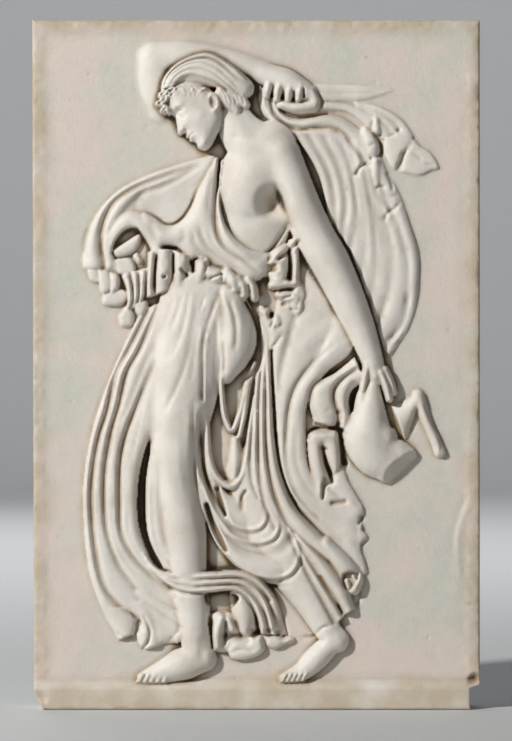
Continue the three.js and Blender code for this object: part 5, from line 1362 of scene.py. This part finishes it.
class StageSettings(bpy.types.PropertyGroup):
    distance: FloatProperty(
        name="Camera distance", description="From the front of the slab to the camera", default=2.8,
        min=0.5, unit="LENGTH", subtype="DISTANCE")
    view_height: FloatProperty(
        name="View height", description="Height of stage that the camera takes in", default=0.64,
        min=0.1, unit="LENGTH", subtype="DISTANCE")
    key_power: FloatProperty(
        name="Key light", description="Power of the key light", default=585, min=0, unit="POWER")


class PLAQUE_OT_stone(bpy.types.Operator):
    """Carves the plaque in one piece of marble"""
    bl_idname = "plaque.stone"
    bl_label = "Marble plaque"
    bl_options = {"REGISTER", "UNDO"}

    def execute(self, context):
        sizes = context.scene.plaque_sizes
        h = softened(carve(), 1.0)
        h, shades = surface(h)
        if h.max() > HIGHEST:
            raise RuntimeError(f"the carving stands out {h.max():.2f} mm, more than {HIGHEST:.2f}")
        mesh = stone_mesh(h, shades, sizes)
        piece = bpy.data.objects.new("marble_plaque", mesh)
        context.scene.collection.objects.link(piece)
        mesh.materials.append(carved_marble(context.scene.plaque_colours))
        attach(piece, "root")
        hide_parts("plaque")
        return {"FINISHED"}


def surface(h):
    """The carving with its worn edges, and where it is bare ground, stained, or holds dirt and painted shade."""
    near = softened(h, 5)
    wide = softened(h, 14)
    ground = 1 - np.clip((softened(h, 1.5) - 0.3) / 1.2, 0, 1)
    # dirt and painted shade gather in every groove, and both are thickest where a hollow is shut in by high forms,
    # where the painted shade goes nearly black
    groove = np.clip((near - h) / 1.7, 0, 1) * (1 - 0.4 * ground)
    shut_in_dirt_and_shade = np.clip((wide - h - 3) / 5, 0, 1)
    recess_dirt_and_shade = np.clip(0.62 * groove + 0.75 * shut_in_dirt_and_shade, 0, 1)
    from_side = np.minimum(XS + HALF_W, HALF_W - XS)[None, :] + 0 * ZS[:, None]
    from_top = (HALF_H - ZS)[:, None] + 0 * XS[None, :]
    edge = np.minimum(from_side, from_top) + 6 * mottle(11, 25)
    stain = 0.8 * np.clip(1 - edge / 20, 0, 1) ** 1.3
    stain = np.maximum(stain, 0.62 * np.clip((-272 - ZS[:, None] + 8 * mottle(12, 30)) / 12, 0, 1))
    from_foot = (ZS + HALF_H)[:, None] + 0 * XS[None, :]
    rim = np.minimum(np.minimum(from_side, from_top), from_foot)
    # the boldest forms are eased off below the face of the block that they were cut from
    bold, room = 21.0, HIGHEST - 0.5 - 21.0
    h = np.where(h > bold, bold + room * np.tanh((h - bold) / room), h)
    h = h + 0.18 * mottle(21, 18) + 0.07 * mottle(22, 5)
    # a faint raised margin left by the rasp, torn and chipped along the arris
    margin = np.minimum(from_side - 1.5 * mottle(24, 20), from_top)
    h = h + 0.5 * np.clip((12 - margin) / 2.5, 0, 1) * ground * (1 + 0.7 * mottle(25, 4))
    h = h + 0.13 * np.sin(2.1 * ZS)[:, None] * np.exp(-(XS + HALF_W) / 6)[None, :]
    h = h - (0.9 + 0.5 * mottle(23, 12)) * np.exp(-rim / 1.4)
    h = h - 3.2 * np.clip(mottle(26, 7) - 1.15, 0, 1) * np.exp(-rim / 3.5)
    return h, {"ground": ground, "recess_dirt_and_shade": recess_dirt_and_shade, "stain": stain}


# the floor runs on behind the plaque and turns up into a wall, far enough away for a camera behind it
SWEEP_HALF = 12.0
SWEEP_FRONT = 10.0
SWEEP_BACK = 5.0
SWEEP_CURVE = 2.5
SWEEP_TALL = 7.0
SWEEP_STEPS = 24


class PLAQUE_OT_stage(bpy.types.Operator):
    """Sets the plain floor, the soft studio light and the camera"""
    bl_idname = "plaque.stage"
    bl_label = "Stage"
    bl_options = {"REGISTER", "UNDO"}

    def execute(self, context):
        scene = context.scene
        stage = scene.plaque_stage
        low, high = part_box("plaque")
        centre = (low + high) / 2
        bm = bmesh.new()
        edge = [bm.verts.new((-SWEEP_HALF, -SWEEP_FRONT, 0))]
        line = [(SWEEP_BACK, 0)]
        for k in range(1, SWEEP_STEPS + 1):
            turn = math.radians(90 * k / SWEEP_STEPS)
            line.append((SWEEP_BACK + SWEEP_CURVE * math.sin(turn), SWEEP_CURVE * (1 - math.cos(turn))))
        line.append((line[-1][0], SWEEP_TALL))
        for y, z in line:
            edge.append(bm.verts.new((-SWEEP_HALF, y, z)))
        edges = [bm.edges.new(pair) for pair in zip(edge, edge[1:])]
        made = bmesh.ops.extrude_edge_only(bm, edges=edges)["geom"]
        across = [g for g in made if isinstance(g, bmesh.types.BMVert)]
        bmesh.ops.translate(bm, verts=across, vec=(2 * SWEEP_HALF, 0, 0))
        bmesh.ops.translate(bm, verts=bm.verts, vec=(0, 0, low.z - 0.0004))
        bmesh.ops.recalc_face_normals(bm, faces=bm.faces)
        for f in bm.faces:
            f.smooth = True
        mesh = bpy.data.meshes.new("floor")
        bm.to_mesh(mesh)
        bm.free()
        floor = bpy.data.objects.new("floor", mesh)
        mesh.materials.append(plain_floor(scene.plaque_colours.floor))
        scene.collection.objects.link(floor)

        camera = bpy.data.objects.new("camera", bpy.data.cameras.new("camera"))
        scene.collection.objects.link(camera)
        scene.camera = camera
        aim = Vector((0, low.y, centre.z - 0.0052))
        camera.location = aim + Vector((0, -stage.distance, 0))
        camera.rotation_euler = (math.radians(90), 0, 0)
        camera.data.sensor_width = 36
        camera.data.lens = 36 * stage.distance / stage.view_height
        camera.data.clip_end = 100

        def lamp(name, place, power, size, colour, target=centre):
            data = bpy.data.lights.new(name, "AREA")
            data.energy, data.size, data.color = power, size, colour
            data.shape = "DISK"
            lit = bpy.data.objects.new(name, data)
            scene.collection.objects.link(lit)
            lit.location = place
            lit.rotation_euler = (target - Vector(place)).to_track_quat("-Z", "Y").to_euler()

        lamp("key", (-5.0, -4.7, 3.4), stage.key_power, 0.6, (1.0, 0.985, 0.96))
        lamp("fill", (0.6, -4.2, 0.8), stage.key_power * 0.008, 2.4, (0.97, 0.98, 1.0))
        lamp("back_fill", (-1.2, 3.0, 1.8), stage.key_power * 0.05, 2.5, (0.95, 0.97, 1.0))
        lamp("backdrop", (1.0, 1.5, 2.6), stage.key_power * 0.11, 2.0, (0.95, 0.98, 1.0), Vector((0, 7.5, 0.6)))
        world = bpy.data.worlds.new("studio")
        scene.world = world
        world.use_nodes = True
        world.node_tree.nodes["Background"].inputs["Color"].default_value = linear("#d4d8db")
        world.node_tree.nodes["Background"].inputs["Strength"].default_value = 0.1
        scene.view_settings.view_transform = "Standard"
        return {"FINISHED"}


class PLAQUE_PT_panel(bpy.types.Panel):
    """Lists what makes the plaque and what can be changed"""
    bl_label = "Marble Relief Plaque"
    bl_idname = "PLAQUE_PT_panel"
    bl_space_type = "VIEW_3D"
    bl_region_type = "UI"
    bl_category = "Plaque"

    def draw(self, context):
        column = self.layout.column()
        for group in (context.scene.plaque_sizes, context.scene.plaque_colours, context.scene.plaque_stage):
            for name in group.__annotations__:
                column.prop(group, name)
        column.operator("plaque.stone")
        column.operator("plaque.stage")


CLASSES = (PlaqueSizes, PlaqueColours, StageSettings, PLAQUE_OT_stone, PLAQUE_OT_stage, PLAQUE_PT_panel)


def register():
    for c in CLASSES:
        bpy.utils.register_class(c)
    bpy.types.Scene.plaque_sizes = PointerProperty(type=PlaqueSizes)
    bpy.types.Scene.plaque_colours = PointerProperty(type=PlaqueColours)
    bpy.types.Scene.plaque_stage = PointerProperty(type=StageSettings)


def unregister():
    del bpy.types.Scene.plaque_sizes
    del bpy.types.Scene.plaque_colours
    del bpy.types.Scene.plaque_stage
    for c in reversed(CLASSES):
        bpy.utils.unregister_class(c)


def main():
    register()
    bpy.ops.plaque.stone()
    bpy.ops.plaque.stage()


if __name__ == "__main__":
    main()
